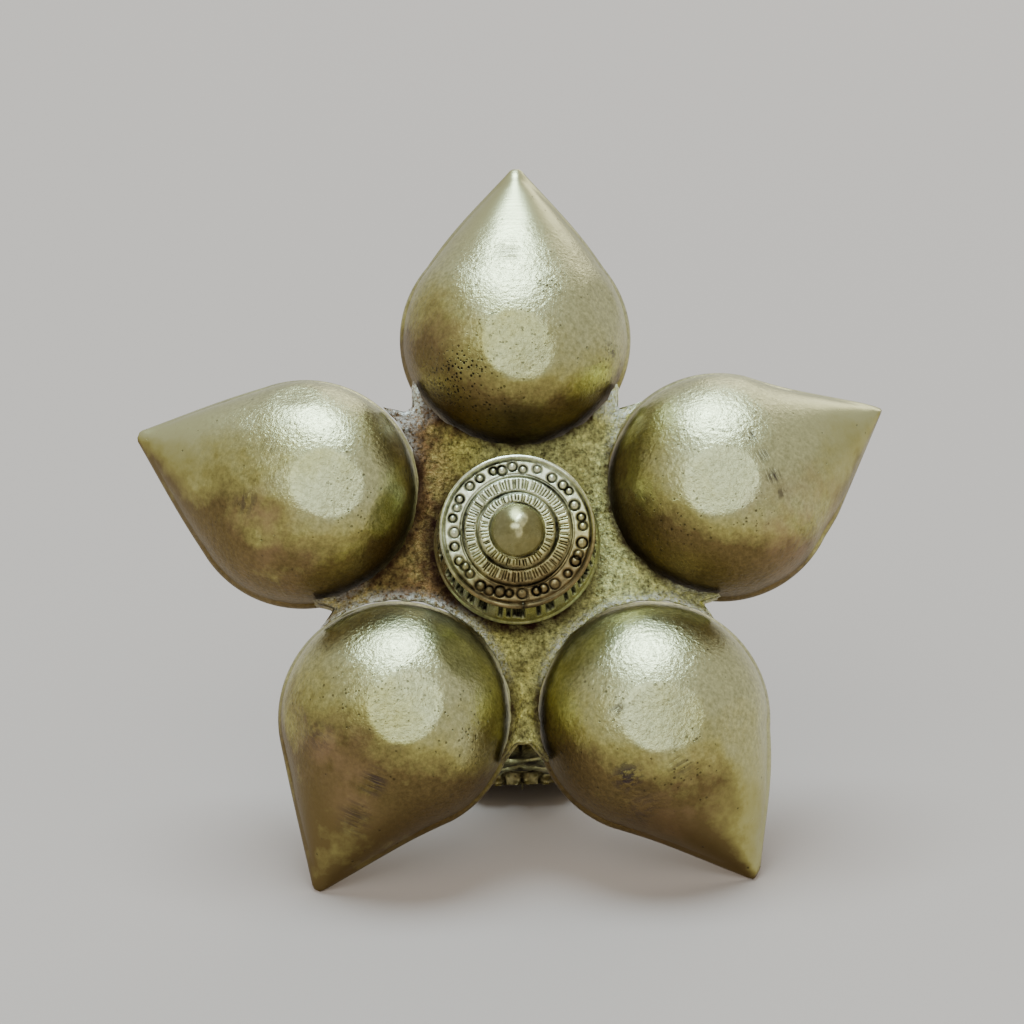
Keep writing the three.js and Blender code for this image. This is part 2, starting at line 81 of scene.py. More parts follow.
# Modelling helpers
def deselectAll():
    bpy.ops.object.select_all(action="DESELECT")


def only(piece):
    deselectAll()
    piece.select_set(True)
    bpy.context.view_layer.objects.active = piece


def applyModifiers(piece):
    only(piece)
    for modifier in list(piece.modifiers):
        bpy.ops.object.modifier_apply(modifier=modifier.name)


# Points in mm in the frame that the piece is made in
def pointsOf(piece):
    return pointRows(piece.data) / mm


def normalsOf(piece):
    return pointRows(piece.data, "normal")


def moveTo(piece, points):
    piece.data.vertices.foreach_set("co", (points * mm).astype(np.float32).ravel())
    piece.data.update()


# Adds a circle at the first [radius, height] and extrudes ring after ring from it.
def turnProfile(name, profile, steps):
    deselectAll()
    radius, height = profile[0]
    bpy.ops.mesh.primitive_circle_add(vertices=steps, radius=radius * mm, fill_type="NGON",
                                      location=(0, 0, height * mm))
    piece = bpy.context.object
    piece.name = name
    bpy.ops.object.transform_apply(location=True, rotation=True, scale=True)
    bpy.ops.object.mode_set(mode="EDIT")
    bpy.ops.mesh.select_all(action="SELECT")
    for nextRadius, nextHeight in profile[1:]:
        factor = nextRadius / radius
        bpy.ops.mesh.extrude_region_move(
            TRANSFORM_OT_translate={"value": (0, 0, (nextHeight - height) * mm)})
        bpy.ops.transform.resize(value=(factor, factor, 1),
                                 center_override=(0, 0, nextHeight * mm))
        radius, height = nextRadius, nextHeight
    bpy.ops.mesh.select_all(action="SELECT")
    bpy.ops.mesh.normals_make_consistent(inside=False)
    bpy.ops.object.mode_set(mode="OBJECT")
    return piece


def joinPieces(pieces, name):
    deselectAll()
    for piece in pieces:
        piece.select_set(True)
    bpy.context.view_layer.objects.active = pieces[0]
    bpy.ops.object.join()
    pieces[0].name = name
    return pieces[0]


# A copy of a CAD node, merged, in the lamp's own frame or the given one.
def nodeCopy(node, name, frameMatrix):
    only(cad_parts[node])
    bpy.ops.object.duplicate()
    piece = bpy.context.object
    piece.name = name
    for key in list(piece.keys()):
        if key.startswith("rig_"):
            del piece[key]
    piece.parent = None
    piece.matrix_world = Matrix.Identity(4)
    piece.data.materials.clear()
    piece.data.transform(frameMatrix)
    bpy.ops.object.mode_set(mode="EDIT")
    bpy.ops.mesh.select_all(action="SELECT")
    bpy.ops.mesh.remove_doubles(threshold=0.00001)
    bpy.ops.object.mode_set(mode="OBJECT")
    return piece


def remeshSmooth(piece, voxel, rounds):
    remesh = piece.modifiers.new("remesh", "REMESH")
    remesh.mode = "VOXEL"
    remesh.voxel_size = voxel * mm
    smooth = piece.modifiers.new("smooth", "SMOOTH")
    smooth.factor = 0.5
    smooth.iterations = rounds
    applyModifiers(piece)


def finishPiece(piece, material, body, nodes=(), matrix=lampFrame, angle=35):
    piece.data.transform(matrix)
    piece.data.update()
    piece.data.materials.clear()
    piece.data.materials.append(material)
    only(piece)
    bpy.ops.object.shade_smooth_by_angle(angle=math.radians(angle))
    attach(piece, body)
    if nodes:
        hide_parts(*nodes)
    print("made", piece.name, len(piece.data.polygons), "faces")


# Shader groups
def newGroup(name, inputs, outputs):
    group = bpy.data.node_groups.new(name, "ShaderNodeTree")
    for label, kind, value in inputs:
        socket = group.interface.new_socket(name=label, in_out="INPUT", socket_type=kind)
        if value is not None:
            socket.default_value = value
    for label, kind in outputs:
        group.interface.new_socket(name=label, in_out="OUTPUT", socket_type=kind)
    return group, group.nodes.new("NodeGroupInput"), group.nodes.new("NodeGroupOutput")


def mathNode(tree, operation, first, second=None, clamp=False):
    node = tree.nodes.new("ShaderNodeMath")
    node.operation = operation
    node.use_clamp = clamp
    for index, value in enumerate((first, second)):
        if isinstance(value, (int, float)):
            node.inputs[index].default_value = value
        elif value is not None:
            tree.links.new(value, node.inputs[index])
    return node.outputs[0]


def times(tree, first, second, clamp=False):
    return mathNode(tree, "MULTIPLY", first, second, clamp)


def plus(tree, first, second, clamp=False):
    return mathNode(tree, "ADD", first, second, clamp)


def rampNode(tree, value, low, high, first=0.0, last=1.0):
    node = tree.nodes.new("ShaderNodeMapRange")
    for label, number in (("From Min", low), ("From Max", high), ("To Min", first), ("To Max", last)):
        node.inputs[label].default_value = number
    tree.links.new(value, node.inputs["Value"])
    return node.outputs["Result"]


def noiseNode(tree, vector, scale, detail=3.0, roughness=0.5):
    node = tree.nodes.new("ShaderNodeTexNoise")
    node.inputs["Scale"].default_value = scale
    node.inputs["Detail"].default_value = detail
    node.inputs["Roughness"].default_value = roughness
    tree.links.new(vector, node.inputs["Vector"])
    return node.outputs["Fac"]


def mixNode(tree, factor, first, second):
    node = tree.nodes.new("ShaderNodeMix")
    node.data_type = "RGBA"
    tree.links.new(factor, node.inputs["Factor"])
    for label, value in (("A", first), ("B", second)):
        if isinstance(value, tuple):
            node.inputs[label].default_value = (*value, 1)
        else:
            tree.links.new(value, node.inputs[label])
    return node.outputs["Result"]


# Pinholes of a casting, thickest where Density is high: 1 in a hole.
def castPitsGroup():
    group, start, end = newGroup("castPits", [
        ("Vector", "NodeSocketVector", None), ("Scale", "NodeSocketFloat", 700.0),
        ("Density", "NodeSocketFloat", 0.3)], [("Mask", "NodeSocketFloat")])
    cells = group.nodes.new("ShaderNodeTexVoronoi")
    group.links.new(start.outputs["Vector"], cells.inputs["Vector"])
    group.links.new(start.outputs["Scale"], cells.inputs["Scale"])
    split = group.nodes.new("ShaderNodeSeparateColor")
    group.links.new(cells.outputs["Color"], split.inputs["Color"])
    chosen = mathNode(group, "LESS_THAN", split.outputs["Red"], start.outputs["Density"])
    size = times(group, rampNode(group, split.outputs["Green"], 0.0, 1.0, 0.16, 0.5), chosen)
    inside = mathNode(group, "SUBTRACT", size, cells.outputs["Distance"])
    group.links.new(rampNode(group, inside, 0.0, 0.07), end.inputs["Mask"])
    return group


# Fine scratches drawn along X of the given vector, between 0 and 1.
def brushedGroup():
    group, start, end = newGroup("brushed", [
        ("Vector", "NodeSocketVector", None), ("Fineness", "NodeSocketFloat", 1.0)],
        [("Height", "NodeSocketFloat")])
    stretch = group.nodes.new("ShaderNodeVectorMath")
    stretch.operation = "MULTIPLY"
    stretch.inputs[1].default_value = (70.0, 3000.0, 3000.0)        # lines per metre
    group.links.new(start.outputs["Vector"], stretch.inputs[0])
    scaled = group.nodes.new("ShaderNodeVectorMath")
    scaled.operation = "SCALE"
    group.links.new(stretch.outputs["Vector"], scaled.inputs[0])
    group.links.new(start.outputs["Fineness"], scaled.inputs["Scale"])
    group.links.new(noiseNode(group, scaled.outputs["Vector"], 1.0, 4.0, 0.65), end.inputs["Height"])
    return group


# Brass colour from clean to aged; where the cleaned value carries painted light and shade, the clean end
# also stands for painted light and the aged end for painted shade. Darkest where the grime value is 1,
# which holds dirt and some painted shade, with a mottle of light and dark grains.
def patinaGroup():
    group, start, end = newGroup("patina", [
        ("Vector", "NodeSocketVector", None),
        ("CleanAndLit", "NodeSocketColor", (0.5, 0.45, 0.25, 1)),
        ("Warm", "NodeSocketColor", (0.4, 0.35, 0.12, 1)),
        ("AgedAndShaded", "NodeSocketColor", (0.25, 0.2, 0.08, 1)),
        ("Dirt", "NodeSocketColor", (0.03, 0.02, 0.012, 1)),
        ("CleanedAndPaintedLight", "NodeSocketFloat", 0.5),
        ("GrimeAndPaintedShade", "NodeSocketFloat", 0.0),
        ("Mottle", "NodeSocketFloat", 0.3)],
        [("Color", "NodeSocketColor"), ("WearAndShade", "NodeSocketFloat")])
    place = start.outputs["Vector"]
    broad = noiseNode(group, place, 42.0, 5.0, 0.62)
    fine = noiseNode(group, place, 420.0, 4.0, 0.65)
    cloud = plus(group, times(group, broad, 1.25), times(group, fine, 0.35))
    reach = mathNode(group, "SUBTRACT", plus(group, cloud, 0.2), start.outputs["CleanedAndPaintedLight"])
    agedAndShaded = rampNode(group, reach, 0.52, 0.86)
    warm = rampNode(group, reach, 0.15, 0.6)
    colour = mixNode(group, warm, start.outputs["CleanAndLit"], start.outputs["Warm"])
    colour = mixNode(group, agedAndShaded, colour, start.outputs["AgedAndShaded"])
    grains = noiseNode(group, place, 1150.0, 3.0, 0.7)
    bright = times(group, rampNode(group, grains, 0.3, 0.7, -1.0, 1.0), start.outputs["Mottle"])
    scale = group.nodes.new("ShaderNodeVectorMath")
    scale.operation = "SCALE"
    group.links.new(colour, scale.inputs[0])
    group.links.new(plus(group, bright, 1.0), scale.inputs["Scale"])
    patchy = rampNode(group, fine, 0.3, 0.62, 0.6, 1.1)
    grimeAndPaintedShade = times(group, start.outputs["GrimeAndPaintedShade"], patchy, clamp=True)
    colour = mixNode(group, grimeAndPaintedShade, scale.outputs["Vector"], start.outputs["Dirt"])
    group.links.new(colour, end.inputs["Color"])
    group.links.new(agedAndShaded, end.inputs["WearAndShade"])
    return group


groups = {"castPits": castPitsGroup(), "brushed": brushedGroup(), "patina": patinaGroup()}


def placeGroup(tree, name, values):
    node = tree.nodes.new("ShaderNodeGroup")
    node.node_tree = groups[name]
    for label, value in values.items():
        if isinstance(value, (int, float)):
            node.inputs[label].default_value = value
        elif isinstance(value, tuple):
            node.inputs[label].default_value = (*value, 1)
        else:
            tree.links.new(value, node.inputs[label])
    return node


# Aged brass. looks names the colours, the gloss and how strong each effect is.
def brassMaterial(name, looks):
    material = bpy.data.materials.new(name)
    material.use_nodes = True
    tree = material.node_tree
    shader = tree.nodes["Principled BSDF"]
    shader.inputs["Metallic"].default_value = 1.0
    place = tree.nodes.new("ShaderNodeTexCoord").outputs["Object"]

    def value(attributeName):
        node = tree.nodes.new("ShaderNodeAttribute")
        node.attribute_name = attributeName
        return node.outputs["Vector" if attributeName == "cupPlace" else "Fac"]

    # This value holds dirt, and on the web and the boss also painted shade and shadow.
    grimeAndPaintedShade = value("grimeAndPaintedShade")
    cleanedAndPaintedLight = value("cleanedAndPaintedLight") if looks.get("paintedLightByPlace") else looks["cleanedAndPaintedLight"]
    coarse = value("coarse") if looks.get("coarseByPlace") else looks.get("coarse", 1.0)
    mottle = times(tree, coarse, looks["mottle"])
    patina = placeGroup(tree, "patina", {
        "Vector": place, "CleanAndLit": looks["cleanAndLit"], "Warm": looks["warm"], "AgedAndShaded": looks["agedAndShaded"],
        "Dirt": looks["dirt"], "CleanedAndPaintedLight": cleanedAndPaintedLight, "GrimeAndPaintedShade": grimeAndPaintedShade, "Mottle": mottle})
    colour = patina.outputs["Color"]
    height = times(tree, noiseNode(tree, place, looks.get("grainScale", 1100.0), 3.0, 0.65), coarse)
    height = times(tree, height, looks["grain"])
    gloss = times(tree, patina.outputs["WearAndShade"], looks.get("dulling", 0.15))
    gloss = plus(tree, gloss, looks["roughness"])
    gloss = plus(tree, gloss, times(tree, grimeAndPaintedShade, 0.3), clamp=True)
    if looks.get("pits"):
        pitted = value("pitted") if looks.get("pittedByPlace") else 0.0
        density = plus(tree, times(tree, pitted, 0.9), looks["pits"])
        pits = placeGroup(tree, "castPits", {
            "Vector": place, "Scale": looks.get("pitScale", 1000.0), "Density": density}).outputs["Mask"]
        height = mathNode(tree, "SUBTRACT", height, times(tree, pits, 1.6))
        darkness = plus(tree, times(tree, pitted, 0.5), 0.5, clamp=True)
        colour = mixNode(tree, times(tree, pits, darkness), colour, looks["dirt"])
    if looks.get("cupMarks"):
        along = value("cupPlace")
        brushed = placeGroup(tree, "brushed", {"Vector": along, "Fineness": 0.6}).outputs["Height"]
        height = plus(tree, height, times(tree, brushed, looks["brush"]))
        gloss = plus(tree, gloss, times(tree, brushed, 0.08))
        blotches = rampNode(tree, noiseNode(tree, place, 160.0, 4.0), 0.4, 0.62)
        stain = times(tree, value("stained"), blotches)
        colour = mixNode(tree, times(tree, stain, 0.55), colour, looks["stain"])
        strokes = placeGroup(tree, "brushed", {"Vector": along, "Fineness": 0.33}).outputs["Height"]
        scuff = times(tree, value("scuffed"), rampNode(tree, strokes, 0.46, 0.56))
        colour = mixNode(tree, times(tree, scuff, 0.9, clamp=True), colour, looks["scuff"])
        height = mathNode(tree, "SUBTRACT", height, times(tree, scuff, 0.7))
        ground = value("ground")
        colour = mixNode(tree, times(tree, ground, 0.25), colour, looks["groundColour"])
        gloss = plus(tree, gloss, times(tree, ground, 0.05))
    # painted highlight: the web's seams and corners are mixed to near white in glinting grains
    if looks.get("seam"):
        paintedGlints = rampNode(tree, noiseNode(tree, place, 1500.0, 3.0, 0.7), 0.38, 0.56)
        bright = times(tree, value("seam"), paintedGlints)
        colour = mixNode(tree, times(tree, bright, 1.1, clamp=True), colour, looks["seam"])
    if looks.get("knob"):
        colour = mixNode(tree, times(tree, value("knob"), 0.8), colour, looks["knob"])
    bump = tree.nodes.new("ShaderNodeBump")
    bump.inputs["Strength"].default_value = looks["bump"]
    bump.inputs["Distance"].default_value = looks["bumpDepth"]
    tree.links.new(height, bump.inputs["Height"])
    tree.links.new(bump.outputs["Normal"], shader.inputs["Normal"])
    tree.links.new(colour, shader.inputs["Base Color"])
    tree.links.new(gloss, shader.inputs["Roughness"])
    return material


# On the cups, web and boss the clean colours also stand for painted light and the aged colours for painted
# shade.
cupBrass = brassMaterial("cupBrass", {
    "cleanAndLit": (0.56, 0.55, 0.285), "warm": (0.42, 0.38, 0.12), "agedAndShaded": (0.17, 0.12, 0.045),
    "dirt": (0.02, 0.014, 0.008), "stain": (0.42, 0.27, 0.15), "scuff": (0.05, 0.035, 0.045),
    "groundColour": (0.42, 0.41, 0.20),
    "paintedLightByPlace": True, "coarseByPlace": True, "pittedByPlace": True, "mottle": 0.3,
    "roughness": 0.25, "dulling": 0.12, "pits": 0.014, "pitScale": 1600.0, "grain": 1.0, "brush": 0.16,
    "cupMarks": True, "bump": 0.75, "bumpDepth": 0.00025})
webBrass = brassMaterial("webBrass", {
    "cleanAndLit": (0.68, 0.66, 0.27), "warm": (0.55, 0.48, 0.14), "agedAndShaded": (0.26, 0.15, 0.06),
    "dirt": (0.05, 0.022, 0.014), "seam": (0.93, 0.95, 0.88), "paintedLightByPlace": True, "mottle": 0.8,
    "roughness": 0.36, "dulling": 0.2, "grain": 1.0, "grainScale": 1700.0,
    "bump": 1.0, "bumpDepth": 0.0008})
bossBrass = brassMaterial("bossBrass", {
    "cleanAndLit": (0.72, 0.73, 0.48), "warm": (0.56, 0.51, 0.22), "agedAndShaded": (0.33, 0.24, 0.10),
    "dirt": (0.014, 0.010, 0.007), "knob": (0.17, 0.15, 0.05), "paintedLightByPlace": True, "mottle": 0.35,
    "roughness": 0.27, "dulling": 0.12, "grain": 0.5, "pits": 0.02, "bump": 0.35, "bumpDepth": 0.00015})
birdBrass = brassMaterial("birdBrass", {
    "cleanAndLit": (0.54, 0.50, 0.28), "warm": (0.43, 0.36, 0.13), "agedAndShaded": (0.26, 0.19, 0.07),
    "dirt": (0.025, 0.018, 0.010), "cleanedAndPaintedLight": 0.45, "mottle": 0.25,
    "roughness": 0.32, "dulling": 0.15, "grain": 0.8, "pits": 0.04, "bump": 0.4, "bumpDepth": 0.0002})
chainBrass = brassMaterial("chainBrass", {
    "cleanAndLit": (0.56, 0.50, 0.27), "warm": (0.44, 0.36, 0.14), "agedAndShaded": (0.26, 0.20, 0.08),
    "dirt": (0.03, 0.02, 0.012), "cleanedAndPaintedLight": 0.5, "mottle": 0.2,
    "roughness": 0.3, "dulling": 0.18, "grain": 0.6, "bump": 0.35, "bumpDepth": 0.00015})
studSteel = brassMaterial("studSteel", {
    "cleanAndLit": (0.5, 0.5, 0.48), "warm": (0.4, 0.39, 0.36), "agedAndShaded": (0.3, 0.28, 0.25),
    "dirt": (0.04, 0.03, 0.02), "cleanedAndPaintedLight": 0.5, "mottle": 0.1,
    "roughness": 0.35, "grain": 0.5, "bump": 0.3, "bumpDepth": 0.0002})
print("materials made")


# Oil cups
# Sizes and places are in mm, in the lamp's own frame. The cleaned value is 1 where the brass is bright: on
# the cups a base tone plus painted light where the skin faces up or to the right, and painted shade where
# it faces down.
cupShape = {
    "radius": 23, "depth": 21, "wall": 2.2, "foot": 7, "nose": 1.1, "lip": 0.55, "keel": 0.35,
    "steps": 216, "levels": 46, "innerLevels": 16, "crowding": 0.42,
    "footInsets": (1.15, 2.2, 4, 6.4), "footEdge": 7.3, "footFade": 2.4,
    "planeSoftness": 0.06, "shaved": 0.1, "wave": 0.07, "rimBand": -1.5,
    "cleanedAndPaintedLight": 0.3, "paintedLightUp": 0.85, "paintedLightRight": 0.3,
    "spoutFrom": 12, "spoutFade": 14, "soot": 0.35, "spoutSoot": 0.3, "seamGrime": 0.45,
}
# Patches are (x, y, radius, strength) from the middle of the foot. Planes are (x, y, cut):
# the sideways parts of a plane's direction, and how deep it is ground.
cupPlans = {
    "cup_top": {
        "middle": (0.965, -42.522), "tip": (2.13, -77.62), "flanks": (0.7, 0.7), "foot": (0, 5.6),
        "pits": [(-11.5, 5.5, 6.5, 1.0), (-7, 11, 5, 0.7), (6, -12, 2.2, 0.6), (0, 0, 7, 0.3),
                 (17, 3, 5, 0.2)],
        "scuffs": [(-1, -20, 2.6, 0.4), (18.5, 0, 1.5, 0.8)], "stains": [(-13, -6, 6, 0.5)],
        "planes": [(0.75, -0.25, 0.5), (-0.8, 0.2, 0.4), (0.07, 0.09, 0.45)],
    },
    "cup_right": {
        "middle": (40.444, -11.445), "tip": (73.383, -25.972), "flanks": (0.7, -0.6), "foot": (0, 2.6),
        "pits": [(-10, 7, 7, 0.3), (-4, -9, 5, 0.2), (4, 6, 5, 0.25)],
        "scuffs": [(5.2, -8.4, 1.4, 0.9), (7.2, -4.6, 1.3, 0.8), (9.2, -0.5, 1.5, 0.9),
                   (10.5, 2.6, 1.2, 0.7)],
        "stains": [(12, 8, 8, 0.8), (18, 2, 6, 0.6)],
        "planes": [(0.9, 0.42, 0.7), (0.35, -0.8, 0.4), (-0.85, -0.1, 0.4), (-0.1, 0.05, 0.5)],
    },
    "cup_lower_right": {
        "middle": (25.478, 34.057), "tip": (44.317, 65.786), "flanks": (-0.5, 0.9), "foot": (0, 2.8),
        "pits": [(-6, -6, 7, 0.14), (5, 8, 6, 0.16)],
        "scuffs": [(-6, 10.5, 2.6, 0.9), (-7.5, -1.8, 1.3, 0.8), (4, 9, 2.2, 0.5), (-3, 16, 3, 0.4)],
        "stains": [(4, 14, 8, 0.6)],
        "planes": [(0.72, 0.12, 0.75), (-0.2, 0.75, 0.4), (0.9, 0.5, 0.4), (0.13, 0.0, 0.6)],
    },
    "cup_lower_left": {
        "middle": (-24.574, 32.610), "tip": (-40.611, 65.786), "flanks": (0.1, -0.5), "foot": (1.8, 1.4),
        "pits": [(-4, -3, 8, 0.25), (9, 3, 6, 0.25), (-12, -5, 5, 0.2)],
        "scuffs": [(-6, 13, 2.4, 0.8), (-10, 19, 3, 0.5), (-16, 4, 3, 0.4)],
        "stains": [(-14, 6, 6, 0.8), (-9, 14, 6, 0.6)],
        "planes": [(0.55, -0.45, 0.5), (-0.3, 0.6, 0.5), (-0.85, 0.1, 0.5), (0.09, -0.08, 0.5)],
    },
    "cup_left": {
        "middle": (-41.622, -12.408), "tip": (-74.232, -25.122), "flanks": (0.3, 0.3), "foot": (4.8, 1.8),
        "pits": [(6, 2, 6, 0.25), (2, -11, 5, 0.2)],
        "scuffs": [(-15, 3, 2.4, 0.5), (16, -3, 1.4, 0.7), (-10, -8, 2, 0.35)],
        "stains": [(-13, 5, 5, 1.0), (-8, 12, 8, 0.5)],
        "planes": [(-0.45, 0.3, 0.6), (-0.1, -0.75, 0.4), (0.7, 0.35, 0.4), (0.1, 0.06, 0.5)],
    },
}


# Distances from a cup's middle to its skin at one depth, for angles off the spout.
def dropSlice(angles, plan, radius, reach, depth):
    sharp = reach + cupShape["nose"]
    slope = radius ** 2 / (sharp ** 2 - radius ** 2)
    level = radius * math.sqrt(max(1 - depth ** 2, 0.0001))
    tangent = math.acos(min(1, radius ** 2 / (sharp * level)))
    rest = sharp ** 2 * slope - (radius * depth) ** 2
    off = np.abs(angles)
    ahead = np.cos(np.minimum(off, 1.5))
    square = np.sin(off) ** 2 - ahead ** 2 * slope
    linear = 2 * sharp * ahead * slope
    cone = 2 * rest / (linear + np.sqrt(np.maximum(linear ** 2 + 4 * square * rest, 0)))
    flank = np.where(angles > 0, *plan["flanks"])
    cone += flank * np.sin(np.pi * np.minimum(off / max(tangent, 1e-6), 1)) * (1 - depth)
    cone += cupShape["keel"] * np.exp(-(off * 30) ** 2) * math.exp(-(depth * 4.5) ** 2) * (depth > 0)
    cone = np.minimum(cone, reach / ahead)
    return np.where(off < tangent, cone, level)


# 1 in the middle of the strongest patch, fading to 0 at its edge.
def patch(points, patches):
    value = np.zeros(len(points))
    for x, y, radius, strength in patches:
        near = np.hypot(points[:, 0] - x, points[:, 1] - y) / radius
        value = np.maximum(value, strength * np.clip(1.4 - near, 0, 1))
    return value


def giveValues(piece, name, values):
    attribute = piece.data.attributes.new(name, "FLOAT", "POINT")
    attribute.data.foreach_set("value", np.clip(values, 0, 1).astype(np.float32))


def makeCup(node, plan):
    middle, tip = np.array(plan["middle"]), np.array(plan["tip"])
    aim = math.atan2(*(tip - middle)[::-1])
    reach = math.hypot(*(tip - middle))
    rings = []              # radius, reach and depth of the shell, share of its depth, inset
    wall = cupShape["wall"]
    sizes = (cupShape["radius"], reach, cupShape["depth"])
    innerSizes = (cupShape["radius"] - wall, reach - wall * 1.55, cupShape["depth"] - wall)
    steep = math.asin(math.sqrt(1 - (cupShape["foot"] / cupShape["radius"]) ** 2))
    for i in range(cupShape["levels"] + 1):
        share = math.sin(steep * i / cupShape["levels"]) / math.sin(steep)
        rings.append((*sizes, share, cupShape["lip"] * min(1, max(0, share - 0.035) / 0.05)))
    footRings = [(*sizes, 1, inset) for inset in cupShape["footInsets"]]
    outerCount = len(rings) + len(footRings)
    innerRings = [(*innerSizes, math.sin(math.pi / 2 * i / cupShape["innerLevels"]), 0)
                  for i in range(cupShape["innerLevels"] + 1)]
    rings = footRings[::-1] + rings[::-1] + innerRings
    profile = [(10 + i * 0.1, i) for i in range(len(rings))]
    piece = turnProfile(node + "_shell", profile, cupShape["steps"])
    flat = pointsOf(piece)
    turns = np.arctan2(flat[:, 1], flat[:, 0])
    angles = turns - cupShape["crowding"] * np.sin(turns)      # closer together towards the spout
    level = np.rint(flat[:, 2]).astype(int)
    placed = np.zeros_like(flat)
    for i, (radius, out, depth, share, inset) in enumerate(rings):
        chosen = level == i
        ballShare = math.sqrt(1 - (cupShape["foot"] / radius) ** 2)
        far = dropSlice(angles[chosen], plan, radius, out, share * ballShare) - inset
        headings = angles[chosen] + aim
        placed[chosen] = np.c_[far * np.cos(headings) + plan["foot"][0] * share ** 2,
                               far * np.sin(headings) + plan["foot"][1] * share ** 2,
                               np.full(chosen.sum(), -depth * share)]
    outside = level < outerCount
    # planes left by the grinder, and low waves of a casting finished by hand
    soft = cupShape["planeSoftness"]
    for x, y, cut in plan["planes"]:
        normal = np.array([x, y, -math.sqrt(max(1 - x * x - y * y, 0.02))])
        normal /= np.linalg.norm(normal)
        over = placed @ normal - ((placed[outside] @ normal).max() - cut)
        push = soft * np.log1p(np.exp(np.clip(over / soft, -30, 30))) * outside
        placed -= push[:, None] * normal
    seed = sum(map(ord, node))
    x, y, z = placed.T
    wave = (np.sin(x * 0.31 + seed) * np.sin(y * 0.27 + seed * 2)
            + 0.5 * np.sin(x * 0.83 + seed) * np.sin(y * 0.71) * np.sin(z * 0.6))
    away = placed / np.maximum(np.linalg.norm(placed, axis=1), 1)[:, None]
    belly = outside & (z < cupShape["rimBand"])
    placed -= away * ((cupShape["shaved"] + cupShape["wave"] * wave) * belly)[:, None]
    foot = placed[:, :2] - np.array(plan["foot"])
    off = np.hypot(foot[:, 0], foot[:, 1])
    heading = np.arctan2(foot[:, 1], foot[:, 0])
    edge = cupShape["footEdge"] + 0.5 * np.sin(heading * 3 + seed) + 0.3 * np.sin(heading * 7 + seed * 3)
    ground = np.clip((edge - off) / cupShape["footFade"], 0, 1) * outside
    # cupPlace: across the spout, along it, and up
    cos, sin = math.cos(aim), math.sin(aim)
    along = placed[:, 0] * cos + placed[:, 1] * sin
    across = placed[:, 1] * cos - placed[:, 0] * sin
    local = piece.data.attributes.new("cupPlace", "FLOAT_VECTOR", "POINT")
    local.data.foreach_set("vector", (np.c_[across, along, placed[:, 2]] * mm).astype(np.float32).ravel())
    giveValues(piece, "ground", ground)
    giveValues(piece, "pitted", patch(foot, plan["pits"]) * outside)
    giveValues(piece, "scuffed", patch(foot, plan["scuffs"]) * outside)
    giveValues(piece, "stained", patch(foot, plan["stains"]) * outside)
    lamp = np.c_[placed[:, :2] + middle, placed[:, 2]]
    moveTo(piece, lamp)
    facing = normalsOf(piece)
    # painted light and shade: the outside is drawn brighter where it faces up or to the right, darker where
    # it faces down
    paintedLightByFacing = cupShape["paintedLightUp"] * facing @ worldUp + cupShape["paintedLightRight"] * facing[:, 0]
    giveValues(piece, "cleanedAndPaintedLight", cupShape["cleanedAndPaintedLight"] + np.where(outside, paintedLightByFacing, 0))
    spout = np.clip((along - cupShape["spoutFrom"]) / cupShape["spoutFade"], 0, 1)
    giveValues(piece, "coarse", np.where(outside, 1 - spout, 0.5))
    toHub = np.hypot(lamp[:, 0], lamp[:, 1])
    seam = np.clip((26 - toHub) / 5, 0, 1) * np.clip((placed[:, 2] + 12) / 4, 0, 1)
    soot = np.where(outside, 0, cupShape["soot"] + cupShape["spoutSoot"] * spout)
    giveValues(piece, "grimeAndPaintedShade", np.maximum(seam * cupShape["seamGrime"], soot))
    finishPiece(piece, cupBrass, "lamp", [node], angle=30)


for cupNode, cupPlan in cupPlans.items():
    makeCup(cupNode, cupPlan)
print("cups done")


# Cast web
webShape = {
    "voxel": 0.42, "smooth": 3, "seamHeight": 1.1, "seamWidth": 1.3, "roughness": 0.09,
    "hollow": 4.5, "hollowWidth": 3.0, "hollowFrom": 27, "waves": 42, "waveSizes": (0.9, 1.8, 3.4, 4.6),
    "cornerFrom": 29, "bossEdge": 19.4, "bossFade": 3.0, "cleanedAndPaintedLight": 0.6, "paintedShadeSpan": 55,
}


